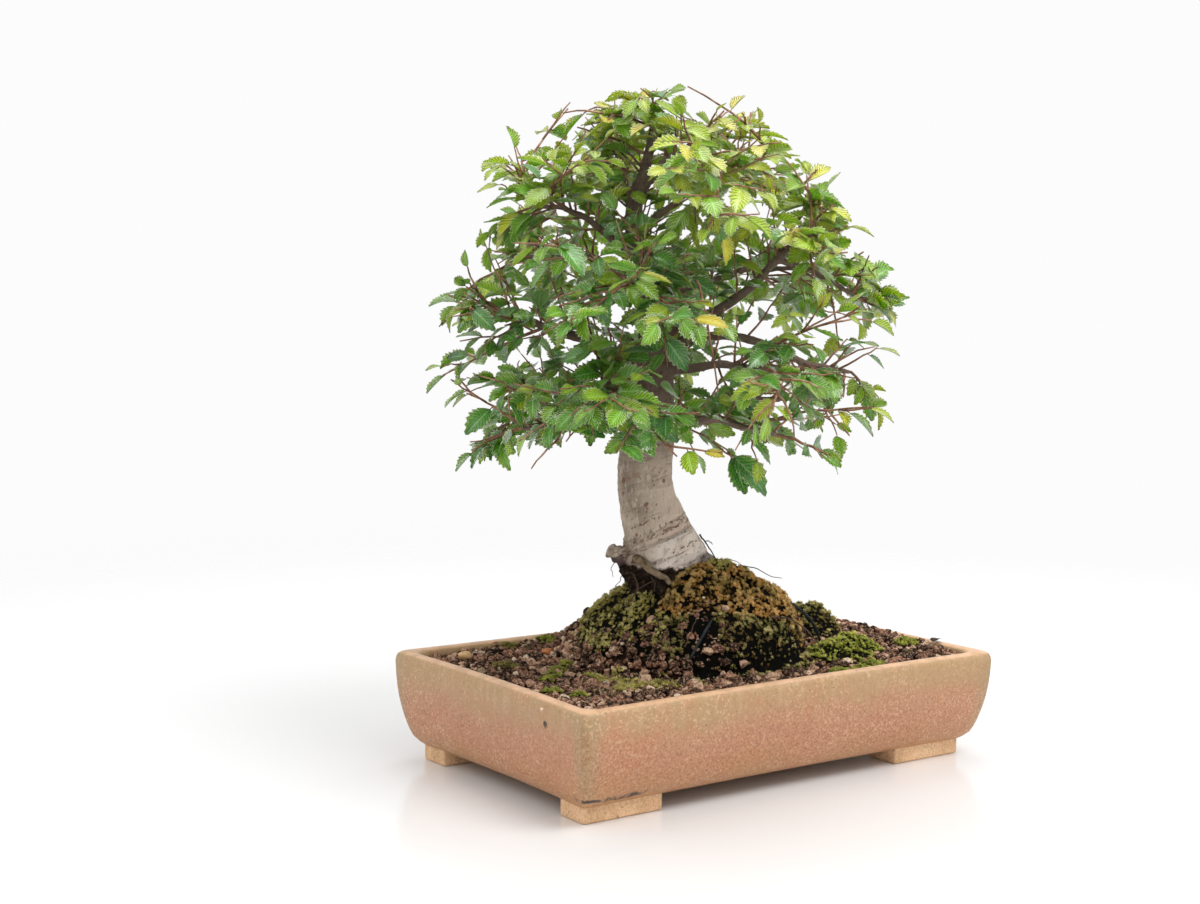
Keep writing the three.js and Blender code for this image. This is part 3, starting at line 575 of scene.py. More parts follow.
def build_soil():
    bm = bmesh.new()
    outline = pot_ring(0, 8.9, 8.9, 9)
    walls = [pot_ring(height, inset, inset, 9) for height, inset in SOIL_WALL]
    last = SOIL_RINGS + len(walls) + 1

    def place(column, row):
        if row == last:
            return Vector((0, 0, SOIL_WALL[-1][0]))
        if row > SOIL_RINGS:
            return walls[row - SOIL_RINGS - 1][column].copy()
        share = row / SOIL_RINGS
        spot = outline[column] * share
        spot.z = ground_height(spot.x, spot.y) - SOIL_SINK + 0.9 * lumps(spot.x, spot.y, 4)
        spot.z = max(spot.z, SOIL_WALL[0][0] - 4)
        return spot

    walls[0] = [Vector((p.x, p.y, SOIL_WALL[0][0] - 5)) for p in walls[0]]
    wrapped_skin(bm, len(outline), last, place)
    bmesh.ops.recalc_face_normals(bm, faces=bm.faces)
    return bm


fine_soil = Finish("fine_soil", Roughness=0.95, Specular_IOR_Level=0.1)
body = fine_soil.ramp(fine_soil.cloud(420, 5, 0.7), [(0.3, "0d0805"), (0.5, "22140d"), (0.72, "3c261a")])
fine_soil.colour(body)
fine_soil.relief((fine_soil.cells(380), 0.9), (fine_soil.cloud(1100, 4, 0.7), 0.5))
finish_piece("soil_fill", build_soil(), [fine_soil], ["soil"])


def full_tone(bm):
    layer = bm.verts.layers.float.new("tone")
    for vert in bm.verts:
        vert[layer] = 1


def granule_shape(number):
    """A rough broken lump, one millimetre in radius, with a few flat breaks."""
    bm = bmesh.new()
    bmesh.ops.create_icosphere(bm, subdivisions=1, radius=1)
    shift = Vector((number * 5.1, 2.3, 0))
    for vert in bm.verts:
        broad = 0.42 * noise.noise(vert.co * 1.35 + shift)
        vert.co *= 1.12 + broad + 0.16 * noise.noise(vert.co * 3.4 + shift)
    for side in range(GRANULE_BREAKS):
        outward = Vector([sway(number, side, key) for key in (31, 32, 33)]).normalized()
        sliced = bmesh.ops.bisect_plane(
            bm, geom=bm.verts[:] + bm.edges[:] + bm.faces[:], plane_co=outward * 0.62, plane_no=outward,
            clear_outer=True,
        )
        rim = [part for part in sliced["geom_cut"] if isinstance(part, bmesh.types.BMEdge)]
        if rim:
            bmesh.ops.contextual_create(bm, geom=rim)
    full_tone(bm)
    mesh = bpy.data.meshes.new("granule")
    bm.to_mesh(mesh)
    bm.free()
    return mesh


def stamp(bm, shape, place, tone=1):
    """Adds a copy of a small mesh in its place. The tone scales the shape's own."""
    copy = shape.copy()
    copy.transform(place)
    levels = copy.attributes["tone"].data
    for level in levels:
        level.value *= tone
    bm.from_mesh(copy)
    bpy.data.meshes.remove(copy)


def turned(*keys):
    """A turn in space that is the same for the same whole numbers."""
    first, second, third = (math.tau * chance(*keys, draw) for draw in (1, 2, 3))
    return (
        Matrix.Rotation(first, 4, "Z") @ Matrix.Rotation(second, 4, "X") @ Matrix.Rotation(third, 4, "Z")
    )


# Moss cushions, which the granules leave room for: middle, radii, turn and swell
MOSS_PATCHES = {
    "golden": {"at": Vector((6, -20)), "long": 40, "wide": 18, "turn": -8, "swell": 3.4},
    "dark": {"at": Vector((2, -32)), "long": 44, "wide": 17, "turn": -6, "swell": 2.4},
    "olive": {"at": Vector((-10, 12)), "long": 44, "wide": 44, "turn": 0, "swell": 2.4},
    "bright": {"at": Vector((67, -37)), "long": 23, "wide": 16, "turn": 8, "swell": 7.4},
    "shade": {"at": Vector((81, 8)), "long": 21, "wide": 17, "turn": 30, "swell": 14.4},
}


def patch_out(patch, x, y):
    """How far out in a patch a place lies: 0 in the middle, 1 at the edge."""
    turn = math.radians(patch["turn"])
    dx = x - patch["at"].x
    dy = y - patch["at"].y
    along = (dx * math.cos(turn) + dy * math.sin(turn)) / patch["long"]
    beside = (dy * math.cos(turn) - dx * math.sin(turn)) / patch["wide"]
    return math.hypot(along, beside)


GRANULE_SHAPES = [granule_shape(number) for number in range(8)]
LARGE_GRANULES = 150
CRUMBS = 180
BACK_GRANULES = 210

# Granules that lie on the moss, at the mound's front foot and beside the front wire
MOSSY_GRANULES = [
    (-34, -35, 3.2), (-38.5, -31.7, 3.4), (-28, -38.6, 2.6),
    (-30.5, -28, 2.5), (-29.5, -32.5, 2), (-18, -40, 3.6),
    (-23.5, -38.8, 3), (-11, -42.5, 3.4), (-16, -43, 2.6), (-42, -56, 3), (-2, -46, 2.8), (-7, -45, 2.4),
    (-43, -29, 2.4), (-47, -24, 2.2), (-14, -37, 1.8), (-9, -34, 2),
    (-21, -33, 1.6), (-51, -19, 2.4), (-24, -30, 1.5),
]


def scatter_granules():
    """Granules on an uneven grid over the open soil, and large ones heaped at the mound's front foot."""
    bm = bmesh.new()
    bm.verts.layers.float.new("tone")
    columns = int(2 * GRANULE_ROOM_X / GRANULE_PITCH)
    rows = int(2 * GRANULE_ROOM_Y / GRANULE_PITCH)
    for column in range(columns + 1):
        for row in range(rows + 1):
            x = -GRANULE_ROOM_X + column * GRANULE_PITCH + 1.5 * sway(column, row, 41)
            y = -GRANULE_ROOM_Y + row * GRANULE_PITCH + 1.5 * sway(column, row, 42)
            x = clamp(x, -GRANULE_ROOM_X, GRANULE_ROOM_X)
            y = clamp(y, -GRANULE_ROOM_Y, GRANULE_ROOM_Y)
            out = min(patch_out(patch, x, y) for patch in MOSS_PATCHES.values())
            if out < 0.93 - 0.12 * chance(column, row, 43):
                continue
            radius = lerp(1.35, 2.7, chance(column, row, 44) ** 1.6)
            add_granule(bm, x, y, radius, 0, column, row)
            for extra in range(2 if ground_slope(x, y).z < 0.72 else 0):
                beside = clamp(x + 1.7 * sway(column, row, extra, 49), -GRANULE_ROOM_X, GRANULE_ROOM_X)
                behind = clamp(y + 1.7 * sway(column, row, extra, 50), -GRANULE_ROOM_Y, GRANULE_ROOM_Y)
                add_granule(bm, beside, behind, radius * 0.9, 0, column, row, extra)
    for number in range(LARGE_GRANULES):
        x = lerp(-46, 22, chance(number, 51))
        y = lerp(-66, -34, chance(number, 52))
        x, y = (x, y) if chance(number, 53) < 0.62 else (
            lerp(-108, 100, chance(number, 54)), lerp(-66, 66, chance(number, 55)))
        if min(patch_out(patch, x, y) for patch in MOSS_PATCHES.values()) > 0.9:
            add_granule(bm, x, y, lerp(2.6, 3.9, chance(number, 56)), 0, number, 57)
    for number, (x, y, radius) in enumerate(MOSSY_GRANULES):
        add_granule(bm, x, y, radius, 2.6, number, 58)
    for number in range(BACK_GRANULES):
        x = lerp(-44, 64, chance(number, 63))
        y = lerp(72.6, 74, chance(number, 70))
        sunk = chance(number, 78) * (ground_height(x, y) - 54)
        add_granule(bm, x, y, lerp(1.4, 2, chance(number, 76)), -max(sunk, 0), number, 77)
    for number in range(CRUMBS):
        x = lerp(-38, -8, chance(number, 59))
        y = lerp(-44, -26, chance(number, 60))
        add_granule(bm, x, y, lerp(0.6, 1.2, chance(number, 68)), 1.3, number, 69)
    bmesh.ops.recalc_face_normals(bm, faces=bm.faces)
    return bm


def add_granule(bm, x, y, radius, rise, *keys):
    shape = GRANULE_SHAPES[int(chance(*keys, 45) * len(GRANULE_SHAPES))]
    lift = rise + radius * lerp(-0.35, 0.45, chance(*keys, 46))
    spot = Vector((x, y, ground_height(x, y) + lift))
    flat = Matrix.Diagonal((radius, radius, radius * lerp(0.75, 1, chance(*keys, 47)), 1))
    stamp(bm, shape, Matrix.Translation(spot) @ flat @ turned(*keys), chance(*keys, 48) ** 1.25)


granule_clay = Finish("granule_clay", Roughness=0.92, Specular_IOR_Level=0.2)
tone = granule_clay.own("tone")
body = granule_clay.ramp(tone, [
    (0.0, "1d120c"),
    (0.35, "5c3d2e"),
    (0.7, "a47861"),
    (0.93, "cda98d"),
    (1.0, "ead5bb"),
])
grit_and_glints = granule_clay.cloud(900, 5, 0.7)
# Dark grit in the clay, and pale specks that are painted highlights on its rough faces.
body = granule_clay.mix(granule_clay.fade(grit_and_glints, 0.5, 0.38, 0, 0.85), body, "1c110b")
body = granule_clay.mix(granule_clay.fade(grit_and_glints, 0.52, 0.62, 0, 0.6), body, "d8b294")
algae = granule_clay.fade(granule_clay.cloud(55, 4, 0.6), 0.6, 0.68)
body = granule_clay.mix(granule_clay.calc("MULTIPLY", algae, 0.3), body, "5b6330")
granule_clay.colour(body)
granule_clay.relief((granule_clay.cloud(600, 4, 0.7), 0.7), (granule_clay.cloud(1700, 3, 0.7), 0.25))
granules = finish_piece("soil_granules", scatter_granules(), [granule_clay])
granules.data.set_sharp_from_angle(angle=GRANULE_EDGE)


LITTER_PIECES = 170


def scatter_litter():
    """Broken bits of twig, bark and root that lie among the granules and on the mound's left foot."""
    bm = bmesh.new()
    bm.verts.layers.float.new("tone")
    splinter = bmesh.new()
    bmesh.ops.create_cone(splinter, cap_ends=True, segments=5, radius1=0.09, radius2=0.05, depth=2)
    full_tone(splinter)
    mesh = bpy.data.meshes.new("splinter")
    splinter.to_mesh(mesh)
    splinter.free()
    for number in range(LITTER_PIECES):
        x = lerp(-GRANULE_ROOM_X, GRANULE_ROOM_X, chance(number, 151)) * 0.97
        y = lerp(-GRANULE_ROOM_Y, GRANULE_ROOM_Y, chance(number, 152)) * 0.97
        reach = lerp(1.2, 4.2, chance(number, 153) ** 2)
        spot = Vector((x, y, ground_height(x, y) + 2.4))
        level = Matrix.Rotation(math.tau * chance(number, 154), 4, "Z")
        tilt = Matrix.Rotation(math.pi / 2 + 0.35 * sway(number, 155), 4, "X")
        shape = Matrix.Diagonal((lerp(2, 6, chance(number, 156)), 3, reach, 1))
        stamp(bm, mesh, Matrix.Translation(spot) @ level @ tilt @ shape, chance(number, 157))
    return bm


litter_wood = Finish("litter_wood", Roughness=0.85)
litter_wood.colour(litter_wood.ramp(litter_wood.own("tone"), [
    (0.0, "2a1c13"),
    (0.5, "5f4733"),
    (0.8, "8f7558"),
    (1.0, "c8b08c"),
]))
finish_piece("soil_litter", scatter_litter(), [litter_wood])

# Moss. Low cushions that grew over the mound, golden where they dried in the sun, black green in the
# shade of the trunk, olive on the left and fresh green beside the tie wire. Each has a fine lumpy
# body, painted near black as the shade between its shoots, covered with shoots of a few leaflets each.

CUSHION_COLUMNS = 84
CUSHION_ROWS = 26
CUSHION_EDGE = 1.0
MOSS_SHOOTS = {"golden": 4800, "dark": 3600, "olive": 6600, "bright": 1700, "shade": 1400}
HOLLOW_MIDDLE = Vector((-25, -35))
HOLLOW_REACH = 7
MOSS_TUFTS = [
    ("bright", -89, 2, 4, 3),
    ("bright", -82, 8, 5, 4),
    ("bright", -74, 15, 4, 4),
    ("bright", -64, 22, 3, 3),
    ("bright", -101, -20, 4, 4),
    ("bright", -97, -36, 4, 6),
    ("bright", -67, -4, 4, 3),
    ("shade", -91, 35, 6, 3),
    ("bright", -46, 66, 6, 5),
    ("shade", -70, 66, 6, 3),
    ("bright", 40, -63, 5, 3),
    ("bright", 52, -65, 5, 4),
    ("bright", 63, -62, 6, 4),
    ("bright", 108, -40, 7, 5),
    ("olive", -58, -27, 9, 3),
    ("olive", -63, -14, 8, 3),
    ("olive", -48, -37, 9, 3),
    ("olive", -36, -44, 7, 3),
    ("olive", -69, -34, 6, 3),
]


def patch_cover(name, x, y):
    """Height of a cushion over the ground, which sinks away under the cushions before it."""
    patch = MOSS_PATCHES[name]
    out = patch_out(patch, x, y)
    cover = CUSHION_EDGE + patch["swell"] * (1 - min(out, 1) ** 2)
    cover += 2.2 * lumps(x, y, 10) + 1.1 * lumps(x + 40, y, 4.5)
    for other, earlier in MOSS_PATCHES.items():
        if other == name:
            return cover
        inside = clamp((1.04 - patch_out(earlier, x, y)) / 0.16, 0, 1)
        cover = lerp(cover, -1.5, inside)
    return cover


def patch_spot(name, turn, share):
    """A place in a patch, whose edge runs unevenly."""
    patch = MOSS_PATCHES[name]
    wave = Vector((math.cos(turn), math.sin(turn), len(name)))
    share *= 1 + 0.13 * noise.noise(wave * 2.2) + 0.07 * noise.noise(wave * 5)
    along = Vector((patch["long"] * share * math.cos(turn), patch["wide"] * share * math.sin(turn)))
    angle = math.radians(patch["turn"])
    x = patch["at"].x + along.x * math.cos(angle) - along.y * math.sin(angle)
    y = patch["at"].y + along.x * math.sin(angle) + along.y * math.cos(angle)
    return clamp(x, -GRANULE_ROOM_X, GRANULE_ROOM_X), clamp(y, -GRANULE_ROOM_Y, GRANULE_ROOM_Y)


def moss_shoot(leaflets, number):
    """One shoot, a millimetre high: slim leaflets that spread from its foot."""
    bm = bmesh.new()
    layer = bm.verts.layers.float.new("tone")
    for leaflet in range(leaflets):
        lean = math.radians(8 if leaflet == 0 else lerp(28, 72, chance(number, leaflet, 65)))
        reach = lerp(0.7, 1, chance(number, leaflet, 66))
        spike = bmesh.ops.create_cone(
            bm, cap_ends=True, segments=3, radius1=0.2, radius2=0, depth=reach,
            matrix=Matrix.Rotation(math.tau * leaflet / max(leaflets - 1, 1) + number, 4, "Z")
            @ Matrix.Rotation(lean, 4, "Y") @ Matrix.Translation((0, 0, reach / 2)),
        )["verts"]
        # The tone runs from 0 at a leaflet's foot to 1 at its tip, and the finish paints the foot near black
        # as shade.
        for vert in spike:
            vert[layer] = clamp(vert.co.length, 0, 1)
    mesh = bpy.data.meshes.new("shoot")
    bm.to_mesh(mesh)
    bm.free()
    return mesh


SHOOTS = [moss_shoot(8, number) for number in range(4)]


def add_shoot(bm, spot, normal, size, tone, *keys):
    lean = (normal + Vector((sway(*keys, 61), sway(*keys, 62), sway(*keys, 63))) * 0.6).normalized()
    upright = lean.to_track_quat("Z", "Y").to_matrix().to_4x4()
    spin = Matrix.Rotation(math.tau * chance(*keys, 64), 4, "Z")
    shape = SHOOTS[int(chance(*keys, 67) * len(SHOOTS))]
    stamp(bm, shape, Matrix.Translation(spot) @ upright @ spin @ Matrix.Scale(size, 4), tone)


def build_cushion(name):
    bm = bmesh.new()
    bm.verts.layers.float.new("tone")

    def place(column, row):
        turn = math.tau * column / CUSHION_COLUMNS
        if row == CUSHION_ROWS + 2:
            x, y = MOSS_PATCHES[name]["at"]
            return Vector((x, y, ground_height(x, y) - 2.5))
        x, y = patch_spot(name, turn, min(row, CUSHION_ROWS) / CUSHION_ROWS)
        ground = ground_height(x, y)
        if row > CUSHION_ROWS:
            return Vector((x, y, ground - 2.5))
        return Vector((x, y, ground + patch_cover(name, x, y)))

    wrapped_skin(bm, CUSHION_COLUMNS, CUSHION_ROWS + 2, place)
    bmesh.ops.recalc_face_normals(bm, faces=bm.faces)
    return bm


def grow_shoots(name):
    """Shoots in tight clumps. Painted light: a clump that stands high gets paler shoots. Between the clumps
    the cushion's body shows, painted near black as shade.
    """
    bm = bmesh.new()
    bm.verts.layers.float.new("tone")
    key = len(name) * 7 + ord(name[0])
    for number in range(MOSS_SHOOTS[name]):
        turn = math.tau * chance(number, key, 71)
        x, y = patch_spot(name, turn, math.sqrt(chance(number, key, 72)))
        cover = patch_cover(name, x, y)
        normal = ground_slope(x, y)
        if cover < 0.2 or chance(number, key, 73) > 0.5 / max(normal.z, 0.25) + 0.25:
            continue
        spot = Vector((x, y, ground_height(x, y) + cover - 0.6))
        clump = noise.noise(spot / 3.1) + 0.45 * noise.noise(spot / 1.5)
        hollow = (Vector((x, y)) - HOLLOW_MIDDLE).length < HOLLOW_REACH * (1 + clump)
        if clump < -0.2 or hollow:
            continue
        share = clamp((clump + 0.2) / 0.6, 0, 1)
        spot += normal * (1.7 * share)
        size = lerp(0.95, 1.9, chance(number, key, 74)) * lerp(0.8, 1.15, share)
        # Painted light: the higher the clump, the paler its shoots.
        tone = lerp(0.6, 1.65, share * chance(number, key, 75) ** 0.5)
        add_shoot(bm, spot, normal, size, tone, number, key)
    return bm


def moss_finish(name, dark, low, high, tip, other_low, other_high):
    """Moss: its own two greens in patches, and pale tips, partly painted light. The shoots' feet and the
    cushion's body in the gaps are near black, as painted shade.
    """
    moss = Finish(name, Roughness=0.95, Specular_IOR_Level=0.1)
    patches = moss.cloud(150, 4, 0.6)
    body = moss.ramp(patches, [(0.36, low), (0.6, high)])
    other = moss.ramp(patches, [(0.36, other_low), (0.6, other_high)])
    body = moss.mix(moss.fade(moss.cloud(62, 3, 0.6), 0.47, 0.56, 0, 0.85), body, other)
    tips = moss.own("tone")
    # Pale tips: the tips' own paler colour, and painted light where the tone runs high.
    body = moss.mix(moss.fade(tips, 0.45, 0.95), body, tip)
    # Painted shade: the shoots' feet, and the cushion's body between them, are near black.
    body = moss.mix(moss.fade(tips, 0.05, 0.4, 1, 0), body, dark)
    moss.colour(body)
    moss.relief((moss.cloud(800, 4, 0.7), 0.8), (moss.cells(500), 0.6))
    return moss


MOSS_FINISHES = {
    "golden": moss_finish("golden_moss", "0c0703", "a57c36", "ecae60", "fbd690", "5e4a22", "a08a40"),
    "dark": moss_finish("dark_moss", "070604", "4c4e26", "96904a", "e8d890", "3a301c", "8c6c3a"),
    "olive": moss_finish("olive_moss", "0b0904", "989044", "dcd072", "fbeaa0", "68602a", "b4a64c"),
    "bright": moss_finish("bright_moss", "121208", "6c7a26", "acb044", "e4e276", "5a5626", "8e9c3e"),
    "shade": moss_finish("shade_moss", "0a0805", "54542a", "969044", "dccc7c", "4c3f24", "87723f"),
}
for name, finish in MOSS_FINISHES.items():
    finish_piece(f"cushion_{name}", build_cushion(name), [finish], [f"moss_{name}"])
    finish_piece(f"shoots_{name}", grow_shoots(name), [finish])

tufts = {kind: bmesh.new() for kind in ("bright", "olive", "shade", "golden")}
for bm in tufts.values():
    bm.verts.layers.float.new("tone")

# Moss that has climbed the foot of the trunk on its right: kind, place in the tree's axes and reach
MOSS_COLLAR = [
    ("golden", (3, -17, 97.5), 3.4),
    ("olive", (8, -13, 99), 4.2),
    ("olive", (13, -11, 98.5), 4.4),
    ("golden", (18, -13, 96), 4.4),
    ("golden", (24, -13, 93.5), 4),
    ("olive", (22, -4, 94), 4),
    ("golden", (30, -12, 90), 3.6),
]
for number, (kind, spot, reach) in enumerate(MOSS_COLLAR):
    middle = tree_place(*spot)
    lump = bmesh.ops.create_icosphere(
        tufts[kind], subdivisions=2, radius=reach * 0.8, matrix=Matrix.Translation(middle),
    )["verts"]
    for vert in lump:
        vert.co += (vert.co - middle) * 0.3 * noise.noise(vert.co / 2)
    for shoot in range(int(9 * reach**1.6)):
        out = Vector((sway(number, shoot, 86), sway(number, shoot, 87), chance(number, shoot, 88) - 0.15))
        out.normalize()
        size = lerp(1.1, 2.1, chance(number, shoot, 89))
        tone = lerp(0.6, 1.2, chance(number, shoot, 90))
        add_shoot(tufts[kind], middle + out * reach * 0.8, out, size, tone, number, shoot)
for number, (kind, x, y, reach, height) in enumerate(MOSS_TUFTS):
    for shoot in range(14 * reach):
        turn = math.tau * chance(number, shoot, 81)
        share = math.sqrt(chance(number, shoot, 82))
        spot = Vector((
            clamp(x + reach * share * math.cos(turn), -GRANULE_ROOM_X, GRANULE_ROOM_X),
            clamp(y + reach * share * math.sin(turn), -GRANULE_ROOM_Y, GRANULE_ROOM_Y),
            0,
        ))
        swell = 0.4 * height * (1 - share**2) * chance(number, shoot, 83)
        spot.z = ground_height(spot.x, spot.y) + 1 + swell
        if noise.noise(spot / 2.4) > -0.15:
            size = lerp(1.4, 2.4, chance(number, shoot, 84))
            add_shoot(tufts[kind], spot, UP, size, lerp(0.7, 1.1, chance(number, shoot, 85)), number, shoot)
for kind, bm in tufts.items():
    finish_piece(f"tufts_{kind}", bm, [MOSS_FINISHES[kind]])

# Pebbles. Two odd grains that came with the granules, one cream and one orange, dull and water worn.

PEBBLES = {"cream": 3.6, "orange": 3.2}
PEBBLE_LOOKS = {
    "cream": [(0.3, "a9824f"), (0.5, "d0ab76"), (0.75, "e0c398")],
    "orange": [(0.3, "8a4a22"), (0.5, "b8703c"), (0.75, "c98a52")],
}
for name, radius in PEBBLES.items():
    bm = bmesh.new()
    bmesh.ops.create_icosphere(bm, subdivisions=3, radius=radius * 0.95)
    low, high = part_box(f"pebble_{name}")
    for vert in bm.verts:
        vert.co *= 1 + 0.16 * noise.noise(vert.co * 0.4) - 0.05
        vert.co.x *= 1.15
        vert.co.z *= 0.72
        vert.co += (low + high) / 2 / MM
    stone = Finish(f"{name}_stone", Roughness=0.7)
    stone.colour(stone.ramp(stone.cloud(350, 4, 0.6), PEBBLE_LOOKS[name]))
    stone.relief((stone.cloud(900, 3), 0.2))
    finish_piece(f"stone_{name}", bm, [stone], [f"pebble_{name}"])

# Tie wires. Two loops of dark grey aluminium wire, each of two strands twisted together, that come up
# from the drain holes and hold the root ball down.

STRAND_RADIUS = 0.46
STRAND_OFFSET = 0.42
TWISTS = 24
TIE_WIRES = {
    "front": [
        (-62, -2, 9.5), (-57, -5, 12), (-56, -6, 20), (-33, -35, 57.5), (-28, -36, 65.5), (-22, -35.5, 73),
        (-16, -33, 78),
    ],
    "right": [
        (62, -2, 9.5), (57, -5, 12), (56, -6, 20), (62, -24, 50), (58, -26, 62), (47, -28, 73), (36, -22, 82),
    ],
}


def smooth_line(points):
    """A smooth curve through points, as a rule from 0 to 1. Its knots lie as far apart as the roots of
    the distances between the points."""
    points = [Vector(point) for point in points]
    points = [2 * points[0] - points[1], *points, 2 * points[-1] - points[-2]]
    pieces = len(points) - 3

    def line(along):
        spot = clamp(along, 0, 1) * pieces
        number = min(int(spot), pieces - 1)
        weight = spot - number
        before, start, end, after = points[number:number + 4]
        gap_0, gap_1, gap_2 = (
            math.sqrt((b - a).length) for a, b in ((before, start), (start, end), (end, after))
        )
        leave = (start - before) / gap_0 - (end - before) / (gap_0 + gap_1) + (end - start) / gap_1
        arrive = (end - start) / gap_1 - (after - start) / (gap_1 + gap_2) + (after - end) / gap_2
        leave *= gap_1
        arrive *= gap_1
        return (
            start
            + leave * weight
            + (3 * (end - start) - 2 * leave - arrive) * weight**2
            + (2 * (start - end) + leave + arrive) * weight**3
        )

    return line


def bent_line(start, bend, end):
    """A simple curve from start to end that leaves towards the bend."""
    return lambda along: (
        start * (1 - along) ** 2 + bend * (2 * along * (1 - along)) + end * along**2
    )


def tangent(line, along):
    step = 1e-3
    return (line(min(along + step, 1)) - line(max(along - step, 0))).normalized()


def level_across(line):
    run = line(1) - line(0)
    return Vector((-run.y, run.x, 0)).normalized()


def tube(bm, line, beside, radius_at, sides, steps, finish=0):
    """A tapering round stem along a line. The rule gives the radius for how far along, and the angle."""
    rings = []
    for step in range(steps + 1):
        heading = tangent(line, step / steps)
        sideways = (beside - heading * beside.dot(heading)).normalized()
        rings.append((line(step / steps), sideways, sideways.cross(heading)))

    def place(column, row):
        step = clamp(row - 1, 0, steps)
        centre, sideways, upright = rings[step]
        if row in (0, steps + 2):
            return centre
        angle = math.tau * (column + 0.5) / sides
        radius = radius_at(step / steps, angle)
        return centre + sideways * (radius * math.sin(angle)) + upright * (radius * math.cos(angle))

    wrapped_skin(bm, sides, steps + 2, place, finish)


wire_metal = Finish("wire_metal", Roughness=0.48, Metallic=0.75)
wire_metal.colour(wire_metal.ramp(wire_metal.cloud(240, 4), [(0.35, "1b1e20"), (0.7, "43494c")]))
wire_metal.relief((wire_metal.cloud(1200, 3), 0.08))
for name, way in TIE_WIRES.items():
    middle = smooth_line(way)
    beside = level_across(middle)
    bm = bmesh.new()
    for strand in (0, math.pi):
        def twisted(along, strand=strand):
            heading = tangent(middle, along)
            sideways = (beside - heading * beside.dot(heading)).normalized()
            turn = strand + math.tau * TWISTS * along
            offset = sideways * math.cos(turn) + sideways.cross(heading) * math.sin(turn)
            return middle(along) + offset * STRAND_OFFSET
        tube(bm, twisted, beside, lambda along, angle: STRAND_RADIUS, 6, TWISTS * 6)
    bmesh.ops.recalc_face_normals(bm, faces=bm.faces)
    finish_piece(f"twisted_wire_{name}", bm, [wire_metal], [f"tie_wire_{name}"])

# Trunk. Roots, a cut root stub, the trunk and its branches are one grown piece of wood. The bark is
# thin, smooth and grey tan with small brown lenticels below, and dark brown in the crown.

TRUNK_LINE = [
    (-13, 0, 84, 17),
    (-15, -1, 95, 20.5),
    (-17.5, -2, 103, 21.5),
    (-20.3, -3, 115, 17),
    (-25.3, -5, 130, 14.2),
    (-27, -6, 145, 13.6),
    (-25.5, -7, 162, 13),
    (-24, -8, 186, 10.8),
    (-22.5, -8, 212, 8.6),
    (-25, -9, 236, 7),
    (-32, -9, 258, 5.4),
    (-34, -9, 274, 4.2),
    (-29, -10, 292, 3),
    (-25, -10, 313, 2),
]
TRUNK_SIDES = 40
TRUNK_STEPS = 90
TRUNK_FLUTES = 5
FLUTE_DEPTH = 0.09
FLUTE_LOW = 90
FLUTE_HIGH = 135
ROOTS = [
    ([(-10, -4, 103), (2, -4, 96), (16, -4, 84)], 12, 6),
    ([(-14, 4, 101), (2, 16, 92), (12, 30, 76)], 10, 6),
    ([(-20, 4, 100), (-27, 16, 89), (-31, 28, 74)], 10, 5),
    ([(-28, -12, 100), (-24, -19, 96), (-16, -24, 88)], 4, 3.2),
    ([(-18, -8, 98), (-6, -15, 90), (8, -20, 76)], 8, 5),
    ([(-30, -8, 103), (-39, -11, 103.6), (-45, -12, 105)], 6, 2.6),
]
BRANCHES = [
    ([(-26, -7, 164), (-55, -24, 171), (-86, -34, 168)], 3.2, 1.7),
    ([(-24, -8, 166), (2, -34, 173), (34, -56, 168)], 3, 1.6),
    ([(-25, -7, 170), (8, 24, 178), (44, 42, 178)], 3.2, 1.7),
    ([(-25, -7, 174), (-58, 24, 184), (-84, 42, 184)], 3, 1.6),
    ([(-25, -8, 182), (-42, -46, 192), (-56, -76, 188)], 3, 1.6),
    ([(-24, -8, 184), (-18, 36, 194), (-14, 72, 192)], 3, 1.6),
    ([(-24, -8, 198), (-70, -14, 214), (-98, -20, 224)], 3.2, 1.6),
    ([(-23, -8, 194), (8, -46, 200), (26, -76, 200)], 2.8, 1.5),
    ([(-23, -8, 206), (16, -20, 213), (52, -24, 200), (72, -20, 196)], 2.8, 1.4),
    ([(-22, -8, 210), (17, -18, 231), (36, -24, 252), (50, -34, 262)], 3, 1.4),
    ([(34, -24, 250), (58, -14, 242), (76, -6, 232)], 1.8, 1.3),
    ([(-23, -8, 218), (-10, 32, 236), (6, 64, 240)], 2.7, 1.4),
    ([(-23, -8, 222), (-30, -46, 236), (-36, -78, 238)], 2.7, 1.4),
    ([(-24, -8, 230), (22, 16, 244), (52, 26, 246)], 2.4, 1.4),
    ([(-26, -9, 238), (-62, 20, 252), (-86, 34, 250)], 2.4, 1.4),
    ([(-30, -9, 248), (-60, -28, 270), (-80, -38, 274)], 2.3, 1.3),
    ([(-33, -9, 262), (0, 0, 286), (24, 4, 296)], 2.1, 1.2),
    ([(-34, -9, 270), (-38, 24, 290), (-42, 44, 296)], 1.9, 1.2),
    ([(-33, -9, 278), (-16, -40, 298), (-6, -56, 298)], 1.8, 1.2),
]
BARK_VOXEL = 1.15
CREASE_UP = 120.4
CREASE_SLANT = 0.44

# Lumps of the healed root stub
KNOBS = [
    ((-42, -12, 106.6), 2.7),
    ((-37.4, -13, 105.6), 3.6),
    ((-38.4, -12.5, 101.2), 2.7),
    ((-34, -15, 102), 3.4),
]
BARK_SMOOTHING = 2


def trunk_radius(along, angle):
    spot = along * (len(TRUNK_LINE) - 1)
    number = min(int(spot), len(TRUNK_LINE) - 2)
    up, radius = (
        lerp(TRUNK_LINE[number][key], TRUNK_LINE[number + 1][key], spot - number) for key in (2, 3)
    )
    fluting = clamp((FLUTE_HIGH - up) / (FLUTE_HIGH - FLUTE_LOW), 0, 1)
    return radius * (1 + FLUTE_DEPTH * fluting * math.cos(TRUNK_FLUTES * angle))


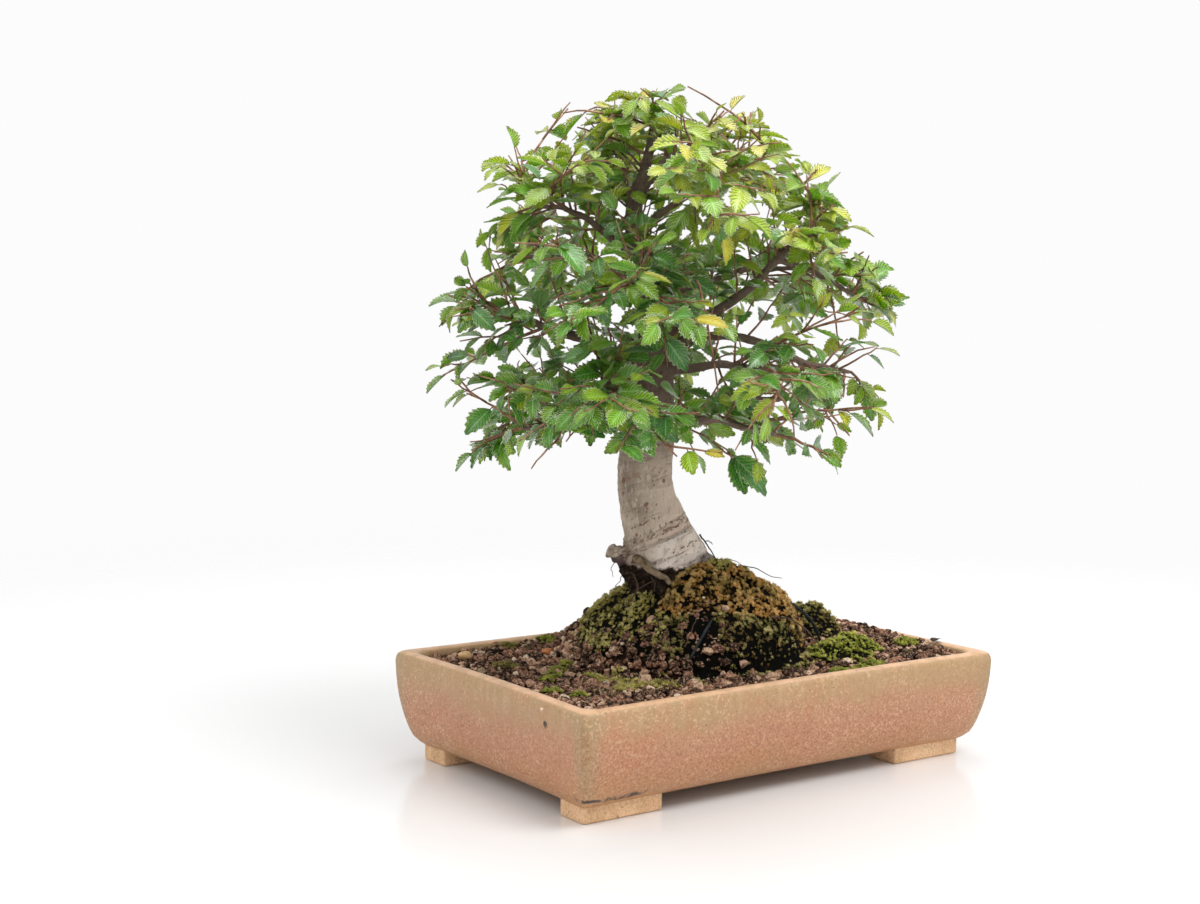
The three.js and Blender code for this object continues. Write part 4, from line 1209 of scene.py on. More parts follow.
def wavy(line, reach, key):
    """The same line with the small bends of grown wood, and the same ends."""
    def bent(along):
        shift = Vector((key * 7.3, along * 4.5, 0.5))
        ease = math.sin(math.pi * along)
        return line(along) + noise.noise_vector(shift) * reach * ease
    return bent


def build_trunk():
    bm = bmesh.new()
    stem = smooth_line([tree_place(*station[:3]) for station in TRUNK_LINE])
    tube(bm, stem, tree_place(1, 0, 0), trunk_radius, TRUNK_SIDES, TRUNK_STEPS)
    for number, (way, start, end) in enumerate([*ROOTS, *BRANCHES]):
        line = smooth_line([tree_place(*point) for point in way])
        beside = level_across(line)
        grown = wavy(line, 2.2 if number >= len(ROOTS) else 0.8, number)
        tube(bm, grown, beside, lambda along, angle: lerp(start, end, along), 12, 14)
    for spot, radius in KNOBS:
        bmesh.ops.create_icosphere(
            bm, subdivisions=2, radius=radius, matrix=Matrix.Translation(tree_place(*spot)),
        )
    return bm


bark = Finish("elm_bark", Roughness=0.82, Specular_IOR_Level=0.15)
up = bark.axis("Z")
fold = bark.fade(bark.cloud(330, 4, 0.7, 1), 0.42, 0.52)
fold = bark.calc("MULTIPLY", bark.near(tree_place(-37, -16, 104.5), 1.5, 4.5), fold)
across = bark.calc("ADD", bark.calc("MULTIPLY", bark.axis("X"), math.cos(TREE_TURN)),
                   bark.calc("MULTIPLY", bark.axis("Y"), math.sin(TREE_TURN)))
slant = bark.calc("MULTIPLY", across, bark.fade(up, 108 * MM, 165 * MM, CREASE_SLANT, 0.0))
over_crease = bark.calc("SUBTRACT", up, bark.calc("MULTIPLY", across, CREASE_SLANT))
over_crease = bark.calc("SUBTRACT", over_crease, CREASE_UP * MM)
warped = bark.node("ShaderNodeCombineXYZ")
bark.feed(warped, {"X": bark.axis("X"), "Y": bark.axis("Y"), "Z": bark.calc("SUBTRACT", up, slant)})
bark.place = warped.outputs[0]
mottle = bark.cloud(85, 5, 0.65)
body = bark.ramp(mottle, [(0.3, "8f7f70"), (0.5, "b0a08f"), (0.72, "d2c2b1")])
# Painted light: the trunk's right side, which faces the key lamp, is painted lighter. Part of it is paler
# bark.
painted_light_right = bark.fade(across, -33 * MM, -8 * MM)
body = bark.mix(bark.calc("MULTIPLY", painted_light_right, 0.65), body, "e4ccba")
blotch = bark.cloud(95, 4, 0.6)
pale_foot = bark.fade(over_crease, 0.6 * MM, -1.5 * MM)
pale_foot = bark.calc("MULTIPLY", pale_foot, bark.fade(across, -32 * MM, -14 * MM))
pale_foot = bark.calc("MULTIPLY", pale_foot, bark.fade(blotch, 0.36, 0.54, 0.3, 0.85))
body = bark.mix(pale_foot, body, "e8dcd2")
rings = bark.fade(bark.cloud(60, 5, 0.6, 0.5, stretch=(0.4, 0.4, 4.2)), 0.53, 0.62)
body = bark.mix(bark.calc("MULTIPLY", rings, 0.16), body, "7b675a")
fissures = bark.cloud(420, 4, 0.6, 0.3, stretch=(1, 1, 0.35))
body = bark.mix(bark.fade(fissures, 0.46, 0.36, 0, 0.4), body, "85746a")
pale = bark.fade(bark.cloud(620, 4, 0.7, stretch=(1, 1, 0.6)), 0.53, 0.64)
body = bark.mix(bark.calc("MULTIPLY", pale, 0.45), body, "ddd2c5")
rows = bark.fade(bark.cloud(46, 4, 0.55, 0.4, stretch=(0.25, 0.25, 4.6)), 0.56, 0.63)
dashes = bark.calc("MULTIPLY", rows, bark.fade(bark.cloud(400, 3, 0.6, stretch=(1, 1, 1.5)), 0.53, 0.6))
spots = bark.calc("MULTIPLY", bark.fade(bark.cells(150, stretch=(1, 1, 1.25)), 0.19, 0.13),
                  bark.fade(bark.cloud(75, 3, 0.6), 0.5, 0.56))
specks = bark.fade(bark.cells(360), 0.2, 0.12)
specks = bark.calc("MULTIPLY", specks, bark.fade(bark.cloud(50, 3, 0.6), 0.44, 0.54, 0, 0.8))
dashes = bark.calc("MULTIPLY", dashes, bark.fade(up, 146 * MM, 136 * MM, 0.35, 1))
lenticels = bark.calc("MAXIMUM", bark.calc("MAXIMUM", dashes, spots), specks)
body = bark.mix(bark.calc("MULTIPLY", lenticels, 0.72), body, "85503a")
crease = bark.fade(bark.calc("ABSOLUTE", over_crease), 1.2 * MM, 0.2 * MM)
crease = bark.calc("MULTIPLY", crease, bark.fade(blotch, 0.34, 0.5, 0.35, 1))
body = bark.mix(bark.calc("MULTIPLY", crease, 0.4), body, "77604f")
crown = bark.fade(bark.calc("ADD", up, bark.calc("MULTIPLY", mottle, 0.03)), 156 * MM, 190 * MM)
body = bark.mix(bark.calc("MULTIPLY", crown, 0.82), body, "5a473b")
# Painted shade: the bark under the cut root stub, on the trunk's left, is darkened.
painted_shade_under_stub = bark.fade(across, -34 * MM, -37 * MM)
painted_shade_under_stub = bark.calc("MULTIPLY", painted_shade_under_stub, bark.fade(up, 104.5 * MM, 101.5 * MM))
body = bark.mix(bark.calc("MULTIPLY", painted_shade_under_stub, 0.85), body, "35222a")
body = bark.mix(bark.calc("MULTIPLY", fold, 0.8), body, "53362e")
far_root = bark.calc("MULTIPLY", bark.fade(across, -2 * MM, 2 * MM), bark.fade(up, 107 * MM, 103.5 * MM))
body = bark.mix(bark.calc("MULTIPLY", far_root, bark.fade(fissures, 0.4, 0.6, 0.95, 0.6)), body, "4c3f42")
# The trunk's foot is darkened towards the ground: soil that stains it, and painted shade in the hollow under
# the trunk.
ragged = bark.calc("ADD", up, bark.calc("MULTIPLY", bark.cloud(170, 4, 0.7), 0.009))
soiled_and_shaded_foot = bark.fade(ragged, 104.2 * MM, 102.6 * MM)
soil_and_shade = bark.ramp(bark.cloud(420, 5, 0.8), [(0.42, "0b0704"), (0.55, "2c1f15"), (0.66, "5c4834")])
body = bark.mix(soiled_and_shaded_foot, body, soil_and_shade)
bark.colour(body)
bark.rough(mottle, 0.72, 0.9)
bark.relief(
    (fissures, 0.8),
    (rings, 0.4),
    (lenticels, 0.5),
    (crease, -0.5),
    (bark.cloud(1300, 3, 0.6), 0.25),
)

trunk = finish_piece("trunk_wood", build_trunk(), [bark], ["trunk"])
merge = trunk.modifiers.new("merge", "REMESH")
merge.mode = "VOXEL"
merge.voxel_size = BARK_VOXEL * MM
apply_modifiers(trunk)


def age_bark(mesh):
    """Eases the joints of the wood, and raises the low relief of its bark."""
    bm = bmesh.new()
    bm.from_mesh(mesh)
    for _ in range(BARK_SMOOTHING):
        bmesh.ops.smooth_vert(
            bm, verts=bm.verts, factor=0.5, use_axis_x=True, use_axis_y=True, use_axis_z=True,
        )
    bm.normal_update()
    for vert in bm.verts:
        spot = vert.co / MM
        broad = noise.noise(spot * 0.11)
        ring = noise.noise(Vector((spot.x * 0.03, spot.y * 0.03, spot.z * 0.55)))
        fine = noise.noise(spot * 0.5)
        share = 1 if spot.z < 150 else 0.45
        lift = share * (0.5 * broad + 0.28 * ring + 0.16 * fine)
        axes = tree_axes(spot)
        over_crease = axes.z - CREASE_SLANT * axes.x - CREASE_UP
        if abs(over_crease) < 2.4 and axes.x < 0 and axes.z < 125:
            lift -= 0.45 * (1 - abs(over_crease) / 2.4)
        if axes.x < -33 and axes.z < 112:
            lift += 1.5 * noise.noise(spot * 0.42)
        if axes.z < 102:
            lift += 1.3 * noise.noise(spot * 0.35)
        vert.co += vert.normal * MM * lift
    bm.to_mesh(mesh)
    bm.free()
    mesh.shade_smooth()


age_bark(trunk.data)
trunk.data.materials.clear()
trunk.data.materials.append(bark.material)

# One pale root lies bare under the stub, and fine dead roots hang from it and curl over the moss
BARE_ROOT = [(-31, -17, 103), (-27, -21.5, 101.3), (-22, -23.5, 98.2), (-17, -24.5, 94.8), (-14, -25, 92)]
FINE_ROOTS = [
    ([(-37, -12, 99), (-37.7, -12, 94.4), (-38.4, -12, 90.9), (-41.1, -12, 88.3)], 0.28),
    ([(-40, -12, 102), (-43, -13, 97), (-42, -14, 93)], 0.22),
    ([(-36, -22, 79), (-33, -26, 85), (-28.5, -27, 90.5), (-21.7, -28, 94)], 0.42),
    ([(20, -8, 99), (29.6, -5, 96.6), (35.1, -5, 93.4), (42, -5, 92)], 0.3),
    ([(10, -6, 101), (17, -8, 101.5), (23, -8, 98)], 0.25),
    ([(0.6, -7, 113.9), (2.6, -8, 110.9), (5.7, -8, 106.9), (9.2, -8, 101)], 0.5),
    ([(3, -8, 110.5), (5.5, -10, 111), (7, -11, 109.5)], 0.3),
    ([(34, -34, 78), (44, -30, 76), (55, -28, 68), (60, -30, 60)], 0.45),
    ([(-8, -52, 66), (-4, -52, 75), (-2, -48, 82)], 0.3),
    ([(-50, -20, 66), (-44, -26, 70), (-38, -30, 69)], 0.35),
    ([(-33, -16, 96), (-30, -21, 92), (-31, -24, 86)], 0.6),
    ([(-27, -19, 99), (-22, -24, 93), (-23, -27, 87)], 0.5),
]


def build_roots(ways):
    bm = bmesh.new()
    for number, (way, radius) in enumerate(ways):
        line = smooth_line([tree_place(*point) for point in way])
        tube(
            bm, wavy(line, 1.2 * radius + 0.6, number + 40), level_across(line),
            lambda along, angle: radius * lerp(1, 0.55, along), 8 if radius > 1 else 5, 18,
        )
    bmesh.ops.recalc_face_normals(bm, faces=bm.faces)
    return bm


root_skin = Finish("root_skin", Roughness=0.85, Specular_IOR_Level=0.3)
root_skin.colour(root_skin.ramp(root_skin.cloud(300, 4, 0.6), [(0.35, "54442f"), (0.6, "917e66")]))
root_skin.relief((root_skin.cloud(600, 3, 0.6, stretch=(1, 1, 0.4)), 0.5))
finish_piece("bare_root", build_roots([(BARE_ROOT, 2.3)]), [root_skin])
dead_root = Finish("dead_root", Roughness=0.8)
dead_root.colour(dead_root.ramp(dead_root.cloud(200, 3), [(0.35, "1d1511"), (0.65, "5d4534")]))
finish_piece("fine_roots", build_roots(FINE_ROOTS), [dead_root])

# Foliage. 44 sprays, each a red-brown twig that grew from a branch, with its side twigs and toothed
# leaves, which lie by turns on its left and right. Old leaves are deep green, and young ones yellow green.

CROWN_CORE = (-18.5, -13, 170)
CROWN_REACH = 125
CROWN_DEPTH = 116
TIP_MARGIN = 10
TIP_RINGS = [
    (156, 94, 9),
    (188, 110, 9),
    (222, 112, 9),
    (258, 98, 7),
    (291, 80, 6),
    (319, 50, 3),
    (338, 7, 1),
]
TIP_HEIGHT_SWAY = 7
TIP_REACH_SWAY = 5
TIP_TURN_SWAY = 0.16
STATIONS = (1, 0.8, 0.6)
TURN_COST = 70
LEAVING_SLANT = 1.1
TWIG_BEND = 0.45
TWIG_RADIUS = 1.0
TWIG_TIP_RADIUS = 0.5

# The crown's outline as its viewer sees it, across and up
CROWN_OUTLINE = [
    (-118, 143), (-134, 180), (-138, 211), (-134, 230), (-124, 240), (-114, 260), (-109, 284), (-106, 302),
    (-90, 319), (-64, 334), (-32, 338), (-5, 338), (20, 327), (47, 312), (59, 305), (72, 287), (86, 257),
    (100, 232), (98, 206), (96, 193), (95, 170), (83, 158), (66, 146), (46, 138), (36, 128), (26, 128),
    (14, 143), (-30, 146), (-49, 152), (-66, 153), (-84, 142), (-106, 142),
]
VIEWER = Vector((-49.3, -961.1, 248.1))

LEAF_TEETH = 7
LEAF_LENGTH = 14.4
LEAF_HALF_WIDTH = 0.315
LEAF_THICKNESS = 0.02
PETIOLE = 0.12
LEAVES_ON_TWIG = 8
SIDE_TWIGS = 8
SIDE_LEAVES = 4.4
BARE_END = 0.3
BRANCH_SHOOTS = 15
STEM_SHOOTS = 40
SHOOT_LEAVES = 4.6
THINNED = 0.1

# Openings in the crown, through which the studio shows: across, up and reach
CROWN_GAPS = [
    (2, 327, 11), (-69, 318, 10), (-94, 308, 11), (-51, 332, 6), (31, 310, 6), (67, 287, 7), (80, 258, 12),
    (-113, 241, 6), (-109, 226, 6), (92, 241, 6), (69, 217, 11), (28, 217, 9), (81, 195, 13), (4, 192, 9),
    (40, 182, 10), (70, 169, 14), (49, 152, 14), (-121, 159, 10),
    (-109, 179, 7), (-73, 179, 6), (-61, 157, 7),
    (-7, 154, 11), (-133, 189, 8), (-97, 168, 6),
]
GAP_THINNED = 0.8

# Ends of twigs that fill the crown where its branches leave it open, in the tree's own axes
FILLING_TWIGS = [
    (-62, -18, 312), (-54, -34, 318), (-46, -10, 322), (-40, -30, 326), (-32, 2, 328), (-26, -28, 326),
    (-52, 10, 316), (-6, -50, 266), (6, -58, 262), (16, -44, 270),
    (-48, -62, 198), (-40, -66, 204), (-114, -26, 184),
    (-20, -60, 216), (-8, -62, 178), (-30, -40, 262), (-18, -44, 240),
    (48, -25, 290), (42, -10, 282), (56, -30, 276),
    (60, 4, 274), (66, -25, 264), (76, -25, 254), (84, -15, 246),
    (68, -25, 184), (80, -15, 186), (-104, -20, 262),
]


def leaf_margin(row):
    """How far along and out the margin lies: by turns the tip of a forward tooth and the notch before it."""
    last = 2 * LEAF_TEETH
    along = row / last
    half = LEAF_HALF_WIDTH * max(math.sin(math.pi * along**0.9), 0) ** (0.58 + 0.4 * along)
    if row % 2:
        return along + 0.6 / last, half * 1.09
    return along, half * 0.86


def leaf_shape(fold, arch, twist, wave):
    """A leaf of unit length, folded along its midrib and arched down, on its petiole. Its upper face has
    the UV map's first unit, and its lower face the third."""
    bm = bmesh.new()
    uv = bm.loops.layers.uv.new("blade")
    last = 2 * LEAF_TEETH
    for face_shift in (0, 2):
        verts = bmesh.ops.create_grid(bm, x_segments=2, y_segments=last, size=1)["verts"]
        for vert in verts:
            share = round(vert.co.x)
            row = round((vert.co.y + 1) / 2 * last)
            for loop in vert.link_loops:
                loop[uv].uv = ((share + 1) / 2 + face_shift, row / last)
            far, half = leaf_margin(row)
            far = lerp(row / last, far, abs(share))
            side = share * half
            lift = fold * abs(side) - arch * far**2 + wave * abs(share) * math.sin(9 * far + 4 * share)
            if share == 0:
                lift -= LEAF_THICKNESS * (1.3 if face_shift else 0.2)
            swing = twist * far
            vert.co = Vector((
                side * math.cos(swing) - lift * math.sin(swing),
                far,
                side * math.sin(swing) + lift * math.cos(swing),
            ))
    bmesh.ops.remove_doubles(bm, verts=bm.verts, dist=1e-6)
    bmesh.ops.recalc_face_normals(bm, faces=bm.faces)
    for edge in bm.edges:
        shifts = {loop[uv].uv.x > 1.5 for face in edge.link_faces for loop in face.loops}
        edge.smooth = len(shifts) == 1
    stalk = bmesh.ops.create_cone(
        bm, cap_ends=True, segments=3, radius1=0.026, radius2=0.018, depth=PETIOLE * 1.5,
        matrix=Matrix.Translation((0, -PETIOLE * 0.6, -0.008)) @ Matrix.Rotation(-math.pi / 2, 4, "X"),
    )["verts"]
    for face in {face for vert in stalk for face in vert.link_faces}:
        face.material_index = 1
    full_tone(bm)
    mesh = bpy.data.meshes.new("leaf")
    bm.to_mesh(mesh)
    bm.free()
    return mesh


LEAF_SHAPES = [
    leaf_shape(0.18, 0.1, 0.0, 0.008),
    leaf_shape(0.32, 0.22, 0.3, 0.012),
    leaf_shape(0.5, 0.14, -0.25, 0.01),
    leaf_shape(0.1, 0.3, 0.15, 0.02),
    leaf_shape(0.65, 0.05, -0.1, 0.012),
    leaf_shape(0.26, -0.08, 0.4, 0.016),
]


def spray_tips():
    """Where the ends of the sprays lie: on rings round the crown."""
    tips = []
    for level, (up, ring_reach, count) in enumerate(TIP_RINGS):
        for number in range(count):
            turn = math.tau * (number + 0.5 * (level % 2)) / count
            angle = turn + TIP_TURN_SWAY * sway(level, number, 11)
            reach = ring_reach + TIP_REACH_SWAY * sway(level, number, 12)
            tip = tree_place(
                CROWN_CORE[0] + reach * math.cos(angle),
                CROWN_CORE[1] + reach * math.sin(angle),
                up + TIP_HEIGHT_SWAY * sway(level, number, 13),
            )
            tip.x = clamp(tip.x, TIP_MARGIN - CROWN_REACH, CROWN_REACH - TIP_MARGIN)
            tip.y = clamp(tip.y, TIP_MARGIN - CROWN_DEPTH, CROWN_DEPTH - TIP_MARGIN)
            tips.append(tip)
    return tips


def branch_stations():
    """Every place on a branch where a spray can leave it."""
    stations = []
    for way, start, end in BRANCHES:
        line = smooth_line([tree_place(*point) for point in way])
        for along in STATIONS:
            stations.append((line(along), tangent(line, along), lerp(start, end, along), along == 1))
    return stations


def spray_seats():
    """Each tip gets the free station that reaches it with the shortest and straightest twig."""
    stations = branch_stations()
    seats = []
    for tip in spray_tips():
        def cost(station):
            way = tip - station[0]
            return way.length + TURN_COST * (1 - way.normalized().dot(station[1]))
        best = min(stations, key=cost)
        stations.remove(best)
        seats.append((tip, best))
    return seats


def twig_line(tip, station):
    """The twig leaves the side of its branch at a slant, or runs on from its end."""
    place, heading, radius, at_end = station
    way = tip - place
    leaving = heading
    start = place
    if not at_end:
        outward = (way - heading * way.dot(heading)).normalized()
        leaving = (heading + outward * LEAVING_SLANT).normalized()
        start = place + leaving * (radius * 0.6)
    return bent_line(start, start + leaving * (TWIG_BEND * way.length), tip)


def as_seen(place):
    """Where the viewer sees a place: across and up in the plane through the tree's foot."""
    spot = tree_axes(place)
    reach = -VIEWER.y / (spot.y - VIEWER.y)
    return VIEWER.x + (spot.x - VIEWER.x) * reach, VIEWER.z + (spot.z - VIEWER.z) * reach


def seen_inside(place):
    """Whether a place lies within the crown's outline, as its viewer sees it."""
    across, up = as_seen(place)
    inside = False
    for (x0, z0), (x1, z1) in zip(CROWN_OUTLINE, CROWN_OUTLINE[1:] + CROWN_OUTLINE[:1]):
        if (z0 > up) != (z1 > up) and across < x0 + (up - z0) / (z1 - z0) * (x1 - x0):
            inside = not inside
    return inside


def left_open(place, *keys):
    """Whether a leaf is left out here: a few anywhere, and most of those in the crown's openings."""
    across, up = as_seen(place)
    in_gap = any(math.hypot(across - x, up - z) < reach for x, z, reach in CROWN_GAPS)
    return chance(*keys, 102) < (GAP_THINNED if in_gap else THINNED)


def inside_frame(place):
    low, high = cad_low / MM, cad_high / MM
    return all(low[axis] + 2.3 < place[axis] < high[axis] - 2.3 for axis in range(3))


def leaf_tone(place, *keys):
    """0 for an old leaf and 1 for a young one. Young ones are at the top, the right and the outside."""
    spot = tree_axes(place)
    out = (place - tree_place(*CROWN_CORE)).length
    young = 0.12 + 0.22 * clamp((out - 70) / 60, 0, 1) + 0.24 * clamp((spot.z - 230) / 80, 0, 1)
    young += 0.1 * clamp(spot.x / 90, -1, 1)
    return clamp(young + 0.5 * sway(*keys, 91) * abs(sway(*keys, 92)) ** 0.5, 0, 0.9)


def add_leaf(bm, root, direction, facing, length, tone, *keys):
    """Seats a leaf on its twig, unless it would stand out of the crown."""
    face = (facing - direction * facing.dot(direction)).normalized()
    side = direction.cross(face)
    turn = Matrix((side, direction, face)).transposed().to_4x4()
    base = root + direction * (PETIOLE * length)
    middle = base + direction * (0.7 * length)
    corners = [base + direction * length, middle + side * 0.3 * length, middle - side * 0.3 * length]
    if not (seen_inside(middle) and all(inside_frame(spot) for spot in corners)):
        return
    if left_open(middle, *keys):
        return
    if chance(*keys, 93) < 0.006:
        tone = 1.0
    shape = LEAF_SHAPES[int(chance(*keys, 94) * len(LEAF_SHAPES))]
    stamp(bm, shape, Matrix.Translation(base) @ turn @ Matrix.Scale(length, 4), tone)


def dress_twig(bm, line, count, first, last, size, spread, *keys):
    """Leaves by turns on both sides of a twig, and one at its last place."""
    beside = level_across(line)
    core = tree_place(*CROWN_CORE)
    for number in range(count):
        share = number / max(count - 1, 1)
        along = lerp(first, last, share)
        heading = tangent(line, along)
        at_tip = number == count - 1
        hand = 1 if number % 2 == 0 else -1
        direction = heading * (1 if at_tip else 0.6)
        direction += beside * (0 if at_tip else hand * spread)
        direction += UP * (0.6 * sway(*keys, number, 21, 0) - 0.35)
        facing = Vector((sway(*keys, number, 22, 0), sway(*keys, number, 23, 0), 0.6))
        root = line(along)
        facing += (root - core).normalized()
        length = size * lerp(1.12, 0.8, share) * (1 + 0.32 * sway(*keys, number, 24))
        tone = leaf_tone(root, *keys, number) + (0.12 if share > 0.7 else 0)
        add_leaf(bm, root, direction.normalized(), facing, length, tone, *keys, number)


def kept_inside(place):
    """The nearest place that lies clear of the frame's sides."""
    low, high = cad_low / MM, cad_high / MM
    return Vector(clamp(place[axis], low[axis] + 2, high[axis] - 2) for axis in range(3))


def thin_twig(bm, line, start, end, steps, key):
    """A twig of red-brown bark that tapers from one radius to another."""
    swaying = wavy(line, 1.2, key)

    def grown(along):
        return kept_inside(swaying(along))

    tube(bm, grown, level_across(line), lambda along, angle: lerp(start, end, along), 5, steps, 1)
    return grown


def within_crown(line):
    """A twig's line as far as its last place that lies well within the crown's outline."""
    places = [step / 16 for step in range(17)]
    inside = [place for place in places if seen_inside(line(place) + tangent(line, place) * 7)]
    last = max(inside, default=0.5)
    return lambda along: line(along * last)


def grow_side_twig(bm, start, direction, length, leaves, size, *keys):
    """A short twig with its leaves, which leaves off at the crown's outline. Some end bare."""
    while length > 8 and not seen_inside(start + direction * (length + 8)):
        length *= 0.8
    if length <= 8 or left_open(start + direction * length, *keys):
        return
    droop = Vector((0, 0, lerp(-0.3, 0.16, chance(*keys, 99)) * length))
    end = kept_inside(start + direction * length + droop)
    line = bent_line(start, start + direction * (0.55 * length), end)
    line = thin_twig(bm, line, 0.62, 0.32, 5, sum(keys))
    count = max(2, round(leaves * length / 28 + 0.6 * sway(*keys, 100)))
    last = 0.62 if chance(*keys, 101) < BARE_END else 0.97
    dress_twig(bm, line, count, 0.25, last, size, 0.9, *keys)


def new_foliage():
    bm = bmesh.new()
    bm.verts.layers.float.new("tone")
    bm.loops.layers.uv.new("blade")
    return bm


def grow_spray(number, tip, station):
    bm = new_foliage()
    whole = twig_line(tip, station)
    line = within_crown(whole)
    kept = (line(1) - line(0)).length / (whole(1) - whole(0)).length
    line = thin_twig(bm, line, TWIG_RADIUS, TWIG_TIP_RADIUS * 0.8, 12, number + 60)
    side_twigs = max(3, round(SIDE_TWIGS * kept))
    for side in range(side_twigs):
        along = lerp(0.1, 0.92, side / (side_twigs - 1)) + 0.05 * sway(number, side, 95)
        start = line(along)
        hand = -1 if side % 2 == 0 else 1
        out = (start - tree_place(*CROWN_CORE)).normalized()
        direction = tangent(line, along) * 0.7
        direction += level_across(line) * (hand * lerp(0.5, 1, chance(number, side, 96)))
        direction += UP * 0.5 * sway(number, side, 97) + out * 0.35
        length = lerp(38, 22, along) * (1 + 0.25 * sway(number, side, 98))
        grow_side_twig(
            bm, start, direction.normalized(), length, SIDE_LEAVES, LEAF_LENGTH * 0.92, number, side + 200,
        )
    dress_twig(bm, line, max(3, round(LEAVES_ON_TWIG * kept)), 0.2, 0.97, LEAF_LENGTH, 0.95, number)
    return bm


def grow_inner_shoots(number, line, radius_at, first, shoots):
    """Short leafy shoots that leave a branch or the stem all the way along and on all sides."""
    bm = new_foliage()
    for shoot in range(shoots):
        along = lerp(first, 0.99, (shoot + 0.5 + 0.4 * sway(number, shoot, 111)) / shoots)
        place = line(along)
        heading = tangent(line, along)
        out = (place - tree_place(*CROWN_CORE)).normalized()
        around = Vector((sway(number, shoot, 112), sway(number, shoot, 113), 0.35 + sway(number, shoot, 114)))
        around = (around - heading * around.dot(heading)).normalized()
        direction = (around + heading * 0.35 + out * 0.5).normalized()
        start = place + around * (radius_at(along) * 0.7)
        length = lerp(16, 34, chance(number, shoot, 115))
        grow_side_twig(
            bm, start, direction, length, SHOOT_LEAVES, LEAF_LENGTH * 0.9, number, shoot + 300,
        )
    return bm


def leaf_finish():
    leaf = Finish("elm_leaf", Roughness=0.4, Subsurface_Weight=0.4, Subsurface_Scale=0.002)
    leaf.feed(leaf.shader, {"Subsurface Radius": (0.6, 1.0, 0.2), "Coat Weight": 0.6, "Coat Roughness": 0.14})
    blade = leaf.node("ShaderNodeUVMap", uv_map="blade").outputs["UV"]
    split = leaf.node("ShaderNodeSeparateXYZ")
    leaf.feed(split, {"Vector": blade})
    under = leaf.fade(split.outputs["X"], 1.4, 1.6)
    share = leaf.calc("SUBTRACT", split.outputs["X"], leaf.calc("MULTIPLY", under, 2.0))
    aside = leaf.calc("ABSOLUTE", leaf.calc("SUBTRACT", leaf.calc("MULTIPLY", share, 2.0), 1.0))
    along = split.outputs["Y"]
    phase = leaf.calc("SUBTRACT", leaf.calc("MULTIPLY", along, 9.0), leaf.calc("MULTIPLY", aside, 2.6))
    phase = leaf.calc("FRACT", phase)
    ridge = leaf.calc("ABSOLUTE", leaf.calc("SUBTRACT", phase, 0.5))
    side_vein = leaf.fade(ridge, 0.36, 0.5)
    midrib = leaf.fade(aside, 0.11, 0.03)
    veins = leaf.calc("MAXIMUM", midrib, leaf.calc("MULTIPLY", side_vein, 0.55))
    tone = leaf.own("tone")
    body = leaf.ramp(tone, [
        (0.0, "3c7c34"),
        (0.14, "4f9428"),
        (0.34, "7cb61c"),
        (0.58, "b2d226"),
        (0.82, "d6e236"),
        (1.0, "ead646"),
    ])
    patchy = leaf.cloud(130, 4, 0.6)
    body = leaf.mix(leaf.fade(patchy, 0.45, 0.3, 0, 0.35), body, leaf.mix(0.6, body, "24501c"))
    body = leaf.mix(leaf.fade(patchy, 0.5, 0.7, 0, 0.3), body, leaf.mix(0.4, body, "9fbf5a"))
    body = leaf.mix(leaf.calc("MULTIPLY", veins, 0.5), body, leaf.mix(0.7, body, "cfe0a4"))
    # Painted highlight: a pale rim along each leaf's margin, where light catches its edge.
    painted_edge_light = leaf.fade(aside, 0.86, 0.98)
    body = leaf.mix(leaf.calc("MULTIPLY", painted_edge_light, 0.75), body, leaf.mix(0.8, body, "dcebae"))
    body = leaf.mix(leaf.calc("MULTIPLY", under, 0.45), body, leaf.mix(0.6, body, "97ae6a"))
    leaf.colour(body)
    leaf.rough(patchy, 0.3, 0.5)
    quilt = leaf.calc("MULTIPLY", leaf.fade(ridge, 0.5, 0.1), leaf.fade(aside, 0.0, 0.5))
    leaf.relief((quilt, 0.5), (leaf.calc("MULTIPLY", veins, -1.0), 0.3), (leaf.cloud(420, 3), 0.4))
    return leaf


def twig_finish():
    twig = Finish("twig_bark", Roughness=0.7)
    body = twig.ramp(twig.cloud(180, 4, 0.6), [(0.3, "5a3c2e"), (0.5, "8d6349"), (0.75, "bd9a80")])
    twig.colour(body)
    twig.relief((twig.cloud(900, 3), 0.2))
    return twig


leaf = leaf_finish()
twig = twig_finish()
for index, (tip, station) in enumerate(spray_seats()):
    number = index + 1
    bm = grow_spray(number, tip, station)
    finish_piece(f"foliage_{number:02d}", bm, [leaf, twig], [f"spray_{number:02d}"])

for index, (way, start, end) in enumerate(BRANCHES):
    number = index + 1
    line = smooth_line([tree_place(*point) for point in way])
    bm = grow_inner_shoots(number + 100, line, lambda along: lerp(start, end, along), 0.2, BRANCH_SHOOTS)
    finish_piece(f"branch_shoots_{number:02d}", bm, [leaf, twig])

stem = smooth_line([tree_place(*station[:3]) for station in TRUNK_LINE])
bm = grow_inner_shoots(150, stem, lambda along: trunk_radius(along, 0.3), 0.56, STEM_SHOOTS)
finish_piece("stem_shoots", bm, [leaf, twig])

